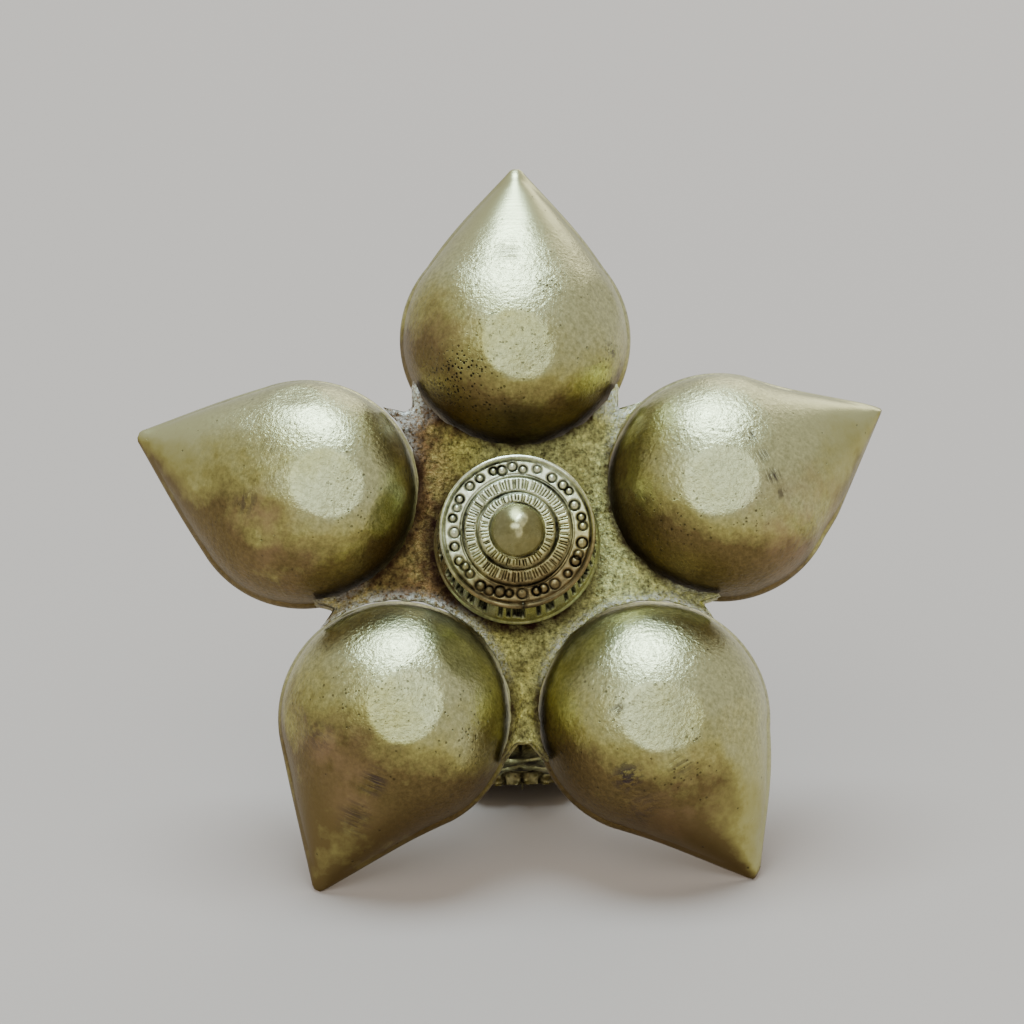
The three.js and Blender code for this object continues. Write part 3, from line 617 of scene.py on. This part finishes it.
def makeWeb():
    piece = nodeCopy("hub_web", "web_casting", toLamp)
    remeshSmooth(piece, webShape["voxel"], webShape["smooth"])
    points = pointsOf(piece)
    rough = np.zeros(len(points))
    random.seed(11)
    for _ in range(webShape["waves"]):
        push = np.array([random.uniform(-1, 1) for _ in range(3)])
        push *= random.choice(webShape["waveSizes"])
        rough += np.sin(points @ push + random.uniform(0, 6.3)) / np.linalg.norm(push) ** 0.7
    rough /= np.abs(rough).max()
    seam = np.zeros(len(points))
    bright = np.zeros(len(points))
    gaps = np.full(len(points), 99.0)
    for plan in cupPlans.values():
        deep = np.clip(-points[:, 2] / cupShape["depth"], 0, 1)
        middle = np.array(plan["middle"])[None] + np.array(plan["foot"])[None] * deep[:, None] ** 2
        ball = cupShape["radius"] * np.sqrt(1 - (deep * 0.953) ** 2)
        gap = np.hypot(*(points[:, :2] - middle).T) - ball
        gaps = np.minimum(gaps, np.maximum(gap, 0))
        bead = np.exp(-((gap - 0.5) / webShape["seamWidth"]) ** 2)
        # painted highlight: the upper side of each seam bead next to a cup is drawn near white
        paintedLitSide = np.clip((middle[:, 1] - points[:, 1]) / cupShape["radius"] * 2.2 - 0.4, 0, 1)
        bright = np.maximum(bright, bead * paintedLitSide)
        seam = np.maximum(seam, bead)
    reachOut = np.hypot(points[:, 0], points[:, 1])
    hollow = np.clip((reachOut - webShape["hollowFrom"]) / 10, 0, 1)
    hollow *= np.clip(gaps / webShape["hollowWidth"], 0, 1) ** 0.8
    points[:, :2] *= (1 - webShape["hollow"] * hollow / np.maximum(reachOut, 1))[:, None]
    points[:, 2] += hollow * (points[:, 2] < -5) * 1.2
    under = points[:, 2] < -5.6
    points[:, 2] -= seam * under * webShape["seamHeight"] * (0.55 + 0.9 * rough)
    points += normalsOf(piece) * (rough * webShape["roughness"] * 3)[:, None]
    moveTo(piece, points)
    far = np.hypot(points[:, 0], points[:, 1])
    # painted highlight: near white on the web's outer corners, strongest towards the top
    paintedCornerHighlight = np.clip((far - webShape["cornerFrom"]) / 5, 0, 1)
    paintedCornerHighlight *= np.clip((8 - points[:, 1]) / 20, 0.25, 1) * (points[:, 1] < 24)
    bright = np.maximum(bright, paintedCornerHighlight) * (0.75 + 0.5 * rough)
    giveValues(piece, "seam", bright)
    # painted shadow of the boss on the web, strongest towards the lower left
    paintedBossShadow = np.clip((webShape["bossEdge"] - far) / webShape["bossFade"], 0, 1)
    paintedBossShadow *= np.clip(0.8 + (points[:, 1] - points[:, 0]) / 30, 0.4, 1.3)
    crevice = np.clip(-rough * 1.2 + 0.15, 0, 1)
    # dark: painted shadow around the boss, painted shade along the joins with the cups, and dirt in the
    # hollows of the casting
    grimeAndPaintedShade = np.maximum.reduce([paintedBossShadow * 0.9, crevice * 0.7, seam * 0.85])
    giveValues(piece, "grimeAndPaintedShade", grimeAndPaintedShade * (1 - np.clip(bright * 1.5, 0, 1)))
    # painted light and shade: the web is drawn brighter to the right and darker to the left
    paintedSideLight = np.clip(points[:, 0] / webShape["paintedShadeSpan"], -0.35, 0.3)
    giveValues(piece, "cleanedAndPaintedLight", webShape["cleanedAndPaintedLight"] + paintedSideLight)
    finishPiece(piece, webBrass, "lamp", ["hub_web"], angle=60)


makeWeb()
print("web done")


# Boss
bossShape = {
    "steps": 560, "base": 16.1, "top": -6.9, "face": -20.1, "side": 14.75,
    "grooves": ((10.45, 0.32, 0.6), (11.05, 0.13, 0.2), (7.5, 0.4, 0.7), (14.0, 0.25, 0.45),
                (5.25, 0.25, 0.35)),
    "circles": 33, "circleRadius": 1.0, "circleBand": 12.4, "circleDepth": 0.52, "circleBulge": 0.2,
    "tickRings": ((8.25, 10.0, 96), (5.75, 7.05, 62)), "tickDepth": 0.26,
    "notch": 1.52, "notchDepth": 0.5, "slots": 60, "slotDepth": 0.8,
    "knobRadius": 5.05, "knobHeight": 3.1,
}


# 1 where the distance is 0, falling away smoothly over the width.
def hill(distance, width):
    return np.exp(-(distance / width) ** 2)


# [radius, height] pairs from the web down the side and over the stepped face to the knob.
def bossProfile():
    top, face, base, side = (bossShape[key] for key in ("top", "face", "base", "side"))
    profile = [(0.5, top), (base - 0.5, top), (base - 0.1, top - 0.1), (base, top - 0.4),
               (base + 0.1, top - 0.9), (base + 0.05, top - 1.5), (base - 0.2, top - 1.75)]
    low, high = top - 1.9, face + 1.0
    for i in range(30):
        t = i / 29
        profile.append((base - 0.3 + (side - base + 0.05) * t, low + (high - low) * t))
    profile += [(side + 0.1, face + 0.85), (side + 0.28, face + 0.55), (side + 0.28, face + 0.25),
                (side + 0.1, face + 0.02), (side - 0.2, face - 0.06), (side - 0.45, face + 0.05),
                (side - 0.6, face + 0.3)]
    radius = side - 0.7
    while radius > 5.2:
        steps = 0.5 * (radius < 10.55) + 0.45 * (radius < 7.55)
        profile.append((radius, face + 0.3 - 0.05 * (14.2 - radius) - steps))
        radius -= 0.1
    for i in range(31):
        t = 1 - (1 - i / 30) ** 1.7
        height = face - 1.5 - bossShape["knobHeight"] * t
        profile.append((bossShape["knobRadius"] * (1 - t) ** 0.6 + 0.03, height))
    return profile


def makeBoss():
    face, top = bossShape["face"], bossShape["top"]
    piece = turnProfile("boss_turned", bossProfile(), bossShape["steps"])
    points = pointsOf(piece)
    far = np.hypot(points[:, 0], points[:, 1])
    turns = np.arctan2(points[:, 1], points[:, 0])
    onFace = points[:, 2] < face + 0.6
    depth = np.zeros(len(points))
    grimeAndPaintedShade = np.zeros(len(points))
    random.seed(5)
    for groove, width, deep in bossShape["grooves"]:
        drift = groove + 0.1 * np.sin(turns * 2 + groove) + 0.05 * np.sin(turns * 5 + groove * 2)
        cut = hill(far - drift, width) * onFace * (0.8 + 0.2 * np.sin(turns * 3 + groove))
        depth += cut * deep
        grimeAndPaintedShade = np.maximum(grimeAndPaintedShade, cut)
    angle = 0.3
    for _ in range(bossShape["circles"]):
        angle += math.tau / bossShape["circles"] * random.uniform(0.62, 1.38)
        band = bossShape["circleBand"] + random.uniform(-0.4, 0.35)
        radius = bossShape["circleRadius"] * random.uniform(0.78, 1.08)
        near = np.hypot(points[:, 0] - band * math.cos(angle), points[:, 1] - band * math.sin(angle))
        ring = hill(near - radius * 0.95, 0.22) * onFace * random.uniform(0.6, 1.0)
        depth += ring * bossShape["circleDepth"]
        depth -= hill(near, radius * 0.4) * onFace * bossShape["circleBulge"]
        grimeAndPaintedShade = np.maximum(grimeAndPaintedShade, np.clip(ring * 1.5, 0, 1))
    for low, high, count in bossShape["tickRings"]:
        for k in range(count):
            angle = math.tau * (k + random.uniform(-0.3, 0.3)) / count
            off = (turns - angle + math.pi) % math.tau - math.pi
            start, end = low + random.uniform(-0.15, 0.3), high + random.uniform(-0.35, 0.1)
            inside = hill(np.maximum(np.maximum(start - far, far - end), 0), 0.15)
            cut = hill(np.abs(off) * far, 0.12) * inside * onFace
            depth += cut * bossShape["tickDepth"]
            grimeAndPaintedShade = np.maximum(grimeAndPaintedShade, cut * random.uniform(0.5, 1.1))
    notch = hill((turns - bossShape["notch"]) * far, 0.6) * onFace * (far > 13.6)
    depth += notch * bossShape["notchDepth"]
    grimeAndPaintedShade = np.maximum(grimeAndPaintedShade, notch * 0.9)
    points[:, 2] += depth
    middle = (top + face) / 2 - 1.9
    onSide = (points[:, 2] > face + 1.0) & (points[:, 2] < top - 1.8)
    cuts = np.zeros(len(points))
    angle = 0.0
    for _ in range(bossShape["slots"]):
        angle += math.tau / bossShape["slots"] * random.choice([0.5, 0.6, 0.75, 1.0, 1.2, 2.0])
        off = (turns - angle + math.pi) % math.tau - math.pi
        ends = hill(np.maximum(np.abs(points[:, 2] - middle) - random.uniform(3.1, 4.1), 0), 0.3)
        cuts = np.maximum(cuts, np.clip(1.8 * hill(np.abs(off) * far, 0.26), 0, 1) * ends * onSide)
    points[:, :2] *= (1 - cuts * bossShape["slotDepth"] / np.maximum(far, 1))[:, None]
    # painted shade lies low and to the left in the stepped face, in ripples, and the knob's point is worn
    # bright
    stain = 0.6 + 0.4 * np.sin(turns * 9 + far * 2.2) * np.sin(far * 3.4 + turns * 5)
    low = np.clip(points[:, 1] / 18 + 0.25 - points[:, 0] / 60, 0, 1)
    grimeAndPaintedShade = np.maximum(grimeAndPaintedShade, low * stain * onFace * (far > 5.4) * 0.8)
    footing = np.clip((points[:, 2] - (top - 2.0)) / 1.0, 0, 1) * (far > 14)
    grimeAndPaintedShade = np.maximum.reduce([grimeAndPaintedShade, np.clip(cuts * 6, 0, 1), footing * 0.5])
    moveTo(piece, points)
    giveValues(piece, "grimeAndPaintedShade", grimeAndPaintedShade)
    # painted light and shade: the stepped face is drawn brighter towards its top and left; the side keeps
    # one tone
    giveValues(piece, "cleanedAndPaintedLight", np.where(onFace, 0.6 - points[:, 1] / 24 - points[:, 0] / 60, 0.85))
    worn = np.hypot(points[:, 0] - 0.2 + points[:, 1] * 0.25, (points[:, 1] + 0.5) * 0.6)
    worn += 0.35 * np.sin(turns * 3 + 1)
    knob = np.clip((5.3 - far) / 0.4, 0, 1) * np.clip((worn - 1.05) / 0.4, 0, 1)
    giveValues(piece, "knob", knob * onFace)
    finishPiece(piece, bossBrass, "lamp", ["base_boss"], angle=45)


makeBoss()
print("boss done")

# The stud stays as it is, hidden in the boss and the pedestal
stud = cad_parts["clamp_stud"].data
stud.materials.clear()
stud.materials.append(studSteel)


# Pedestal
pedestalShape = {
    "foot": -1.7, "steps": 200, "beads": 30, "petals": 16,
    "profile": [        # radius and height over the foot
        (0.5, 0), (14.6, 0), (15, 0.3), (15, 0.7), (15, 1.2), (15, 1.7), (14.7, 2.1), (13.9, 2.4),
        (13.2, 2.7), (12.9, 3.1), (12.2, 3.3), (11.0, 3.7), (9.9, 4.2), (9.0, 4.9), (8.3, 5.7), (7.7, 6.6),
        (7.2, 7.5), (6.9, 8.4), (6.7, 9.3), (6.8, 10.1), (7.1, 10.8), (7.1, 11.1), (7.9, 11.4), (8.7, 11.9),
        (9.2, 12.6), (9.5, 13.4), (9.5, 14.2), (9.3, 15.0), (8.7, 15.6), (7.9, 16.0), (7.1, 16.2),
        (7.1, 16.5), (6.9, 17.1), (6.9, 17.8), (7.1, 18.5), (7.5, 19.2), (8.1, 19.9), (8.9, 20.6),
        (9.8, 21.2), (10.7, 21.7), (11.2, 22.1), (11.5, 22.5), (11.5, 23.1), (11.5, 23.7), (11.2, 24.0),
        (3.4, 24.0), (3.4, 31.5), (2.9, 32.0), (0.3, 32.0),
    ],
}


def makePedestal():
    foot = pedestalShape["foot"]
    profile = [(radius, foot + height) for radius, height in pedestalShape["profile"]]
    piece = turnProfile("pedestal_turned", profile, pedestalShape["steps"])
    points = pointsOf(piece)
    far = np.hypot(points[:, 0], points[:, 1])
    turns = np.arctan2(points[:, 1], points[:, 0])
    height = points[:, 2] - foot
    bead = 0.5 + 0.5 * np.cos(turns * pedestalShape["beads"])
    petal = np.abs(np.sin(turns * pedestalShape["petals"] / 2))
    carve = hill(height - 13.7, 1.6) * (far > 8) * (1 - petal) * 0.9
    carve += hill(height - 1.2, 0.7) * (far > 14) * (1 - bead) * 0.45
    carve += hill(height - 21.2, 1.5) * (far > 7.4) * (far < 11.4) * (1 - petal) * 0.6
    points[:, :2] *= (1 - carve / np.maximum(far, 1))[:, None]
    moveTo(piece, points)
    corners = hill(height - 3.2, 0.5) + hill(height - 11.1, 0.5) + hill(height - 16.3, 0.5)
    giveValues(piece, "grimeAndPaintedShade", np.clip(carve * 1.1 + corners * 0.8 + 0.1, 0, 1))
    finishPiece(piece, birdBrass, "lamp", ["pedestal"], angle=40)


makePedestal()
print("pedestal done")


# Peacock
birdShape = {
    "base": 22.6, "voxel": 0.48, "smooth": 4, "scale": 3.0, "scaleDepth": 0.42,
    "covert": 2.4, "covertDepth": 0.45, "quill": 2.3, "quillDepth": 0.5, "barb": 0.95, "barbDepth": 0.12,
    "tailRays": 3.5, "tailBarb": 1.3, "tailEyes": (16.0, 25.0, 33.5), "tailTips": 6.2, "tailEdge": 42.6,
    "necklaces": ((74.0, 16), (92.0, 12)), "crestRays": 38,
    "spine": [(27, 28), (23, 29), (14, 28), (2, 25), (-10, 25), (-20, 30), (-25, 40), (-25.5, 51),
              (-24, 61), (-22.5, 68), (-24, 74), (-28.5, 76.5), (-33, 76), (-38, 73.5)],
    "tail": [(14, 37), (22, 36), (29, 31.5), (34.5, 25), (38.5, 17.5), (41, 10.5), (42, 6)],
    "tailHalf": [7, 9, 11, 12.5, 13.5, 13, 13],
}


# For points in its plane: the run along a bent line, the signed distance and the distance from it.
def alongLine(line, across, height):
    best = np.full(len(across), 1e9)
    run = np.zeros(len(across))
    side = np.zeros(len(across))
    start = 0.0
    for (y0, z0), (y1, z1) in zip(line, line[1:]):
        length = math.hypot(y1 - y0, z1 - z0)
        uy, uz = (y1 - y0) / length, (z1 - z0) / length
        t = np.clip((across - y0) * uy + (height - z0) * uz, 0, length)
        near = np.hypot(across - y0 - uy * t, height - z0 - uz * t)
        closer = near < best
        best = np.where(closer, near, best)
        run = np.where(closer, start + t, run)
        side = np.where(closer, (across - y0) * uz - (height - z0) * uy, side)
        start += length
    return run, side, best


# Height of round scales laid in staggered rows, 1 on a raised rim and 0.3 in a scale's middle.
def overlapping(u, v):
    height = np.zeros(len(u))
    for step in (1, 0, -1):
        row = np.floor(v) + step
        shifted = u - 0.5 * (row % 2)
        near = np.hypot((shifted - np.round(shifted)) * 1.15, v - row - 0.5)
        inside = near < 0.78
        height = np.where(inside, 0.3 + 0.7 * (near / 0.78) ** 3, height)
    return height


def makeBird():
    piece = nodeCopy("peacock_body", "peacock_cast", toLamp)
    remeshSmooth(piece, birdShape["voxel"], birdShape["smooth"])
    points = pointsOf(piece)
    x, y, height = points[:, 0], points[:, 1], points[:, 2] - birdShape["base"]
    normals = normalsOf(piece)
    carve = np.zeros(len(points))
    run, side, near = alongLine(birdShape["spine"], y, height)
    turns = np.arctan2(x, side)
    girth = np.maximum(np.hypot(x, side), 2)
    tailRun, tailSide, tailNear = alongLine(birdShape["tail"], y, height)
    onTail = (y > 23) & (tailNear < 5.5) | (y > 30)
    onWing = (np.abs(x) > 10.6) & (y > -20) & (y < 26) & (height > 15) & ~onTail
    onCrest = (height > 79.5) & (np.abs(x) < 1.6)
    onStem = (height < 13) & (y < 16) & (np.abs(x) < 11)
    onStem |= (height > 34) & (np.hypot(x, y) < 9) & (near > 13)
    head = (run > 118) & ~onCrest
    feathered = ~(onTail | onWing | onCrest | onStem | head)
    size = birdShape["scale"]
    around = np.round(girth * 2 * math.pi / size / 2) * 2
    scales = overlapping(turns * around / (2 * math.pi), -run / size * 1.05)
    carve += feathered * birdShape["scaleDepth"] * (1 - scales)
    # wings: small coverts at the shoulder, long quills behind
    coverts = overlapping(height / birdShape["covert"], -y / birdShape["covert"])
    lane = (height - y * 0.16) * math.pi / birdShape["quill"]
    quills = 0.5 + 0.5 * np.cos(lane * 2)
    barbs = 0.5 + 0.5 * np.cos((y + np.abs(np.sin(lane)) * 1.4) * math.tau / birdShape["barb"])
    shoulder = np.clip((-2 - y) / 3, 0, 1)
    long = birdShape["quillDepth"] * (1 - quills ** 0.4) + birdShape["barbDepth"] * (1 - barbs)
    wing = shoulder * (1 - coverts) * birdShape["covertDepth"] + (1 - shoulder) * long
    carve += onWing * wing
    # tail: rays with an eye at the end of each feather
    half = np.interp(tailRun, np.linspace(0, 44, 7), birdShape["tailHalf"])
    ray = x / half * birdShape["tailRays"]
    raysDepth = (np.abs(np.cos(ray * math.pi)) ** 14) * 0.8
    slant = np.abs(np.sin(ray * math.pi)) * 1.8
    barb = 0.5 + 0.5 * np.cos((tailRun - slant) * math.tau / birdShape["tailBarb"])
    eyes = np.zeros(len(points))
    for eyeRun in birdShape["tailEyes"]:
        eyeNear = np.hypot((ray - np.round(ray)) * half / birdShape["tailRays"], tailRun - eyeRun)
        eyes = np.maximum(eyes, hill(eyeNear - 1.45, 0.28) + 0.6 * hill(eyeNear - 0.5, 0.22))
        barb = np.where(eyeNear < 1.9, 1, barb)
    outer = np.clip((tailSide - 0.2) / 0.6, 0, 1) * np.clip((tailRun - 26) / 4, 0, 1)
    tips = 1 - overlapping(ray * 0.5, tailRun / birdShape["tailTips"])
    raysDepth = raysDepth * (1 - outer) + outer * tips
    barb = barb * (1 - outer) + outer
    eyes *= 1 - outer
    edge = np.clip((tailRun - birdShape["tailEdge"]) / 1.6, 0, 1)
    bars = hill(tailSide + 0.3 * np.cos(ray * math.pi), 0.4) * (0.5 + 0.5 * edge)
    feathers = (raysDepth + 0.2 * (1 - barb)) * (1 - edge)
    carve += onTail * np.minimum(feathers + 0.4 * eyes + edge * bars, 0.85)
    # crest rays, eye rings, nostril line and two necklaces
    fan = np.arctan2(height - 74, -22 - y)
    carve += onCrest * 0.35 * (0.5 + 0.5 * np.cos(fan * birdShape["crestRays"]))
    eyeNear = np.hypot(y + 26.2, height - 76.2)
    carve += head * (np.abs(x) > 2.5) * (0.45 * hill(eyeNear - 1.5, 0.3) - 0.5 * hill(eyeNear, 0.7))
    carve += head * 0.3 * hill(height - 74.9 - (y + 33) * 0.35, 0.25) * (y < -31)
    for place, beads in birdShape["necklaces"]:
        band = hill(run - place, 1.1) * feathered
        carve = carve * (1 - band) + band * (0.05 - 0.3 * (0.5 + 0.5 * np.cos(turns * beads)))
        carve += hill(np.abs(run - place) - 1.7, 0.35) * feathered * 0.35
    moveTo(piece, points - normals * carve[:, None])
    giveValues(piece, "grimeAndPaintedShade", np.clip(carve * 2.1 - 0.08, 0, 0.95) + 0.25 * onStem)
    finishPiece(piece, birdBrass, "lamp", ["peacock_body"], angle=80)


makeBird()
print("peacock done")


# Suspension eye
eyeShape = {"bend": 6, "wire": 2, "height": 101.6, "foot": 64.6, "seat": 73.9, "steps": 64}


def makeEye():
    foot, seat, ring = eyeShape["foot"], eyeShape["seat"], eyeShape["height"] - eyeShape["bend"]
    profile = [
        (0.4, foot), (2.2, foot), (2.6, foot + 0.6), (2.6, seat - 0.1), (4.4, seat), (4.75, seat + 0.25),
        (4.8, seat + 0.7), (4.8, seat + 1.7), (4.7, seat + 2.2), (4.3, seat + 2.5), (3.5, seat + 2.8),
        (2.9, seat + 3.3), (2.6, seat + 4), (2.5, seat + 5.2), (2.9, seat + 5.6), (3.15, seat + 6.1),
        (3.15, seat + 6.6), (2.9, seat + 7.1), (2.5, seat + 7.5), (2.45, seat + 9), (2.35, ring - 5),
        (2.7, ring - 4.5), (2.9, ring - 4), (2.7, ring - 3.5), (2.3, ring - 3), (2.25, ring - 1),
        (2.2, ring), (0.4, ring),
    ]
    post = turnProfile("eyePost", profile, eyeShape["steps"])
    deselectAll()
    bpy.ops.mesh.primitive_torus_add(
        major_radius=eyeShape["bend"] * mm, minor_radius=eyeShape["wire"] * mm, major_segments=72,
        minor_segments=28, location=(0, 0, eyeShape["height"] * mm), rotation=(0, math.pi / 2, 0))
    loop = bpy.context.object
    bpy.ops.object.transform_apply(location=True, rotation=True, scale=True)
    piece = joinPieces([post, loop], "eye_ring")
    points = pointsOf(piece)
    low = hill(points[:, 2] - ring - 0.4, 1.0) + hill(points[:, 2] - seat - 3, 0.8)
    giveValues(piece, "grimeAndPaintedShade", 0.1 + 0.7 * low)
    finishPiece(piece, chainBrass, "lamp", ["hang_eye"], angle=40)


makeEye()
print("eye done")


# Chain links
linkShape = {"wire": 1.2, "bend": 4.2, "straight": 12.0, "weld": 1.32, "links": 12}


# One link: a ring pulled apart to a long loop, with the bead of its weld on one side.
def makeLink():
    deselectAll()
    bpy.ops.mesh.primitive_torus_add(
        major_radius=linkShape["bend"] * mm, minor_radius=linkShape["wire"] * mm,
        major_segments=48, minor_segments=18, rotation=(0, 0, math.pi / 48))
    loop = bpy.context.object
    bpy.ops.object.transform_apply(location=True, rotation=True, scale=True)
    points = pointsOf(loop)
    points[:, 0] += np.sign(points[:, 0]) * linkShape["straight"] / 2
    moveTo(loop, points)
    deselectAll()
    bpy.ops.mesh.primitive_uv_sphere_add(segments=20, ring_count=10, radius=linkShape["weld"] * mm,
                                         location=(0, linkShape["bend"] * mm, 0), scale=(0.75, 1, 1))
    bead = bpy.context.object
    bpy.ops.object.transform_apply(location=True, rotation=True, scale=True)
    piece = joinPieces([loop, bead], "linkPattern")
    points = pointsOf(piece)
    ends = np.clip((np.abs(points[:, 0]) - 7.5) / 2, 0, 1)
    giveValues(piece, "grimeAndPaintedShade", 0.1 + 0.5 * ends + 0.4 * hill(np.abs(points[:, 0]) - 1.0, 0.3))
    return piece


linkPattern = makeLink()
for number in range(1, linkShape["links"] + 1):
    node = f"chain_link_{number:02d}"
    middle, axes = mainAxes(nodePoints(node))
    along, across = Vector(axes[0]), Vector(axes[1])
    across *= 1 if across.z > 0 else -1
    matrix = Matrix((along, across, along.cross(across))).transposed().to_4x4()
    matrix.translation = Vector(middle)
    piece = linkPattern.copy()
    piece.data = linkPattern.data.copy()
    piece.name = f"link_{number:02d}"
    bpy.context.scene.collection.objects.link(piece)
    finishPiece(piece, chainBrass, node, [node], matrix=matrix, angle=60)
bpy.data.objects.remove(linkPattern)
print("chain done")


# Hook
hookShape = {"voxel": 0.3, "smooth": 8}


def makeHook():
    piece = nodeCopy("hanging_hook", "hook_bent", Matrix.Identity(4))
    remeshSmooth(piece, hookShape["voxel"], hookShape["smooth"])
    points = pointsOf(piece)
    wear = 0.5 + 0.5 * np.sin(points[:, 0] * 0.9) * np.sin(points[:, 1] * 0.7)
    giveValues(piece, "grimeAndPaintedShade", 0.12 + 0.15 * wear + 0.4 * np.clip((0.8 - points[:, 2]) / 0.8, 0, 1))
    finishPiece(piece, chainBrass, "hanging_hook", ["hanging_hook"],
                matrix=Matrix.Identity(4), angle=80)


makeHook()
print("hook done")


# Camera, floor and light
view = {
    "focalPixels": 3500.0, "imagePixels": 1024.0, "sensor": 36.0,
    "place": (-0.0067, -0.8099, 0.2813), "turn": -0.56, "down": 18.3, "roll": -1.47,
}
stage = {
    "floor": (0.49, 0.408, 0.345), "floorSize": 12, "floorRoughness": 0.85,
    "world": (0.83, 0.82, 0.77), "worldStrength": 0.76,
    "sunStrength": 3.1, "sunAngle": 32, "sunColour": (0.74, 0.98, 1.20), "sunFrom": (-0.05, 0.21, 0.94),
}


def makeCamera():
    turn, down, roll = (math.radians(view[key]) for key in ("turn", "down", "roll"))
    level = math.cos(down)
    forward = Vector((-math.sin(turn) * level, math.cos(turn) * level, -math.sin(down)))
    right = Vector((math.cos(turn), math.sin(turn), 0))
    up = right.cross(forward)
    rolledRight = math.cos(roll) * right + math.sin(roll) * up
    rolledUp = -math.sin(roll) * right + math.cos(roll) * up
    data = bpy.data.cameras.new("photoCamera")
    data.sensor_width = view["sensor"]
    data.lens = view["focalPixels"] / view["imagePixels"] * view["sensor"]
    data.clip_end = 20
    camera = bpy.data.objects.new("photoCamera", data)
    bpy.context.scene.collection.objects.link(camera)
    matrix = Matrix((rolledRight, rolledUp, -forward)).transposed().to_4x4()
    matrix.translation = Vector(view["place"])
    camera.matrix_world = matrix
    bpy.context.scene.camera = camera


def makeFloor():
    deselectAll()
    bpy.ops.mesh.primitive_plane_add(size=stage["floorSize"], location=(0, 0, 0))
    floor = bpy.context.object
    floor.name = "paleFloor"
    material = bpy.data.materials.new("paleFloor")
    material.use_nodes = True
    shader = material.node_tree.nodes["Principled BSDF"]
    shader.inputs["Base Color"].default_value = (*stage["floor"], 1)
    shader.inputs["Roughness"].default_value = stage["floorRoughness"]
    floor.data.materials.append(material)


def makeLight(name, place, aim, size, power, colour):
    data = bpy.data.lights.new(name, "AREA")
    data.shape = "RECTANGLE"
    data.size, data.size_y = size
    data.energy = power
    data.color = colour
    light = bpy.data.objects.new(name, data)
    bpy.context.scene.collection.objects.link(light)
    light.location = place
    light.rotation_euler = (Vector(aim) - Vector(place)).to_track_quat("-Z", "Y").to_euler()


# A soft sun nearly overhead, so that the floor is lit evenly out to its edge
def makeSun():
    data = bpy.data.lights.new("skySun", "SUN")
    data.energy = stage["sunStrength"]
    data.angle = math.radians(stage["sunAngle"])
    data.color = stage["sunColour"]
    light = bpy.data.objects.new("skySun", data)
    bpy.context.scene.collection.objects.link(light)
    light.rotation_euler = (-Vector(stage["sunFrom"])).to_track_quat("-Z", "Y").to_euler()


makeCamera()
makeFloor()
makeLight("frontLight", (-0.25, -1.30, 1.22), (0, -0.12, 0.06), (1.6, 1.0), 8.8, (0.84, 1.0, 1.14))
makeLight("backLight", (0.5, 1.2, 0.9), (0, 0.0, 0.05), (1.0, 0.6), 4, (1.0, 0.97, 0.92))
makeSun()
world = bpy.data.worlds.new("studio")
world.use_nodes = True
world.node_tree.nodes["Background"].inputs["Color"].default_value = (*stage["world"], 1)
world.node_tree.nodes["Background"].inputs["Strength"].default_value = stage["worldStrength"]
bpy.context.scene.world = world
print("stage done")
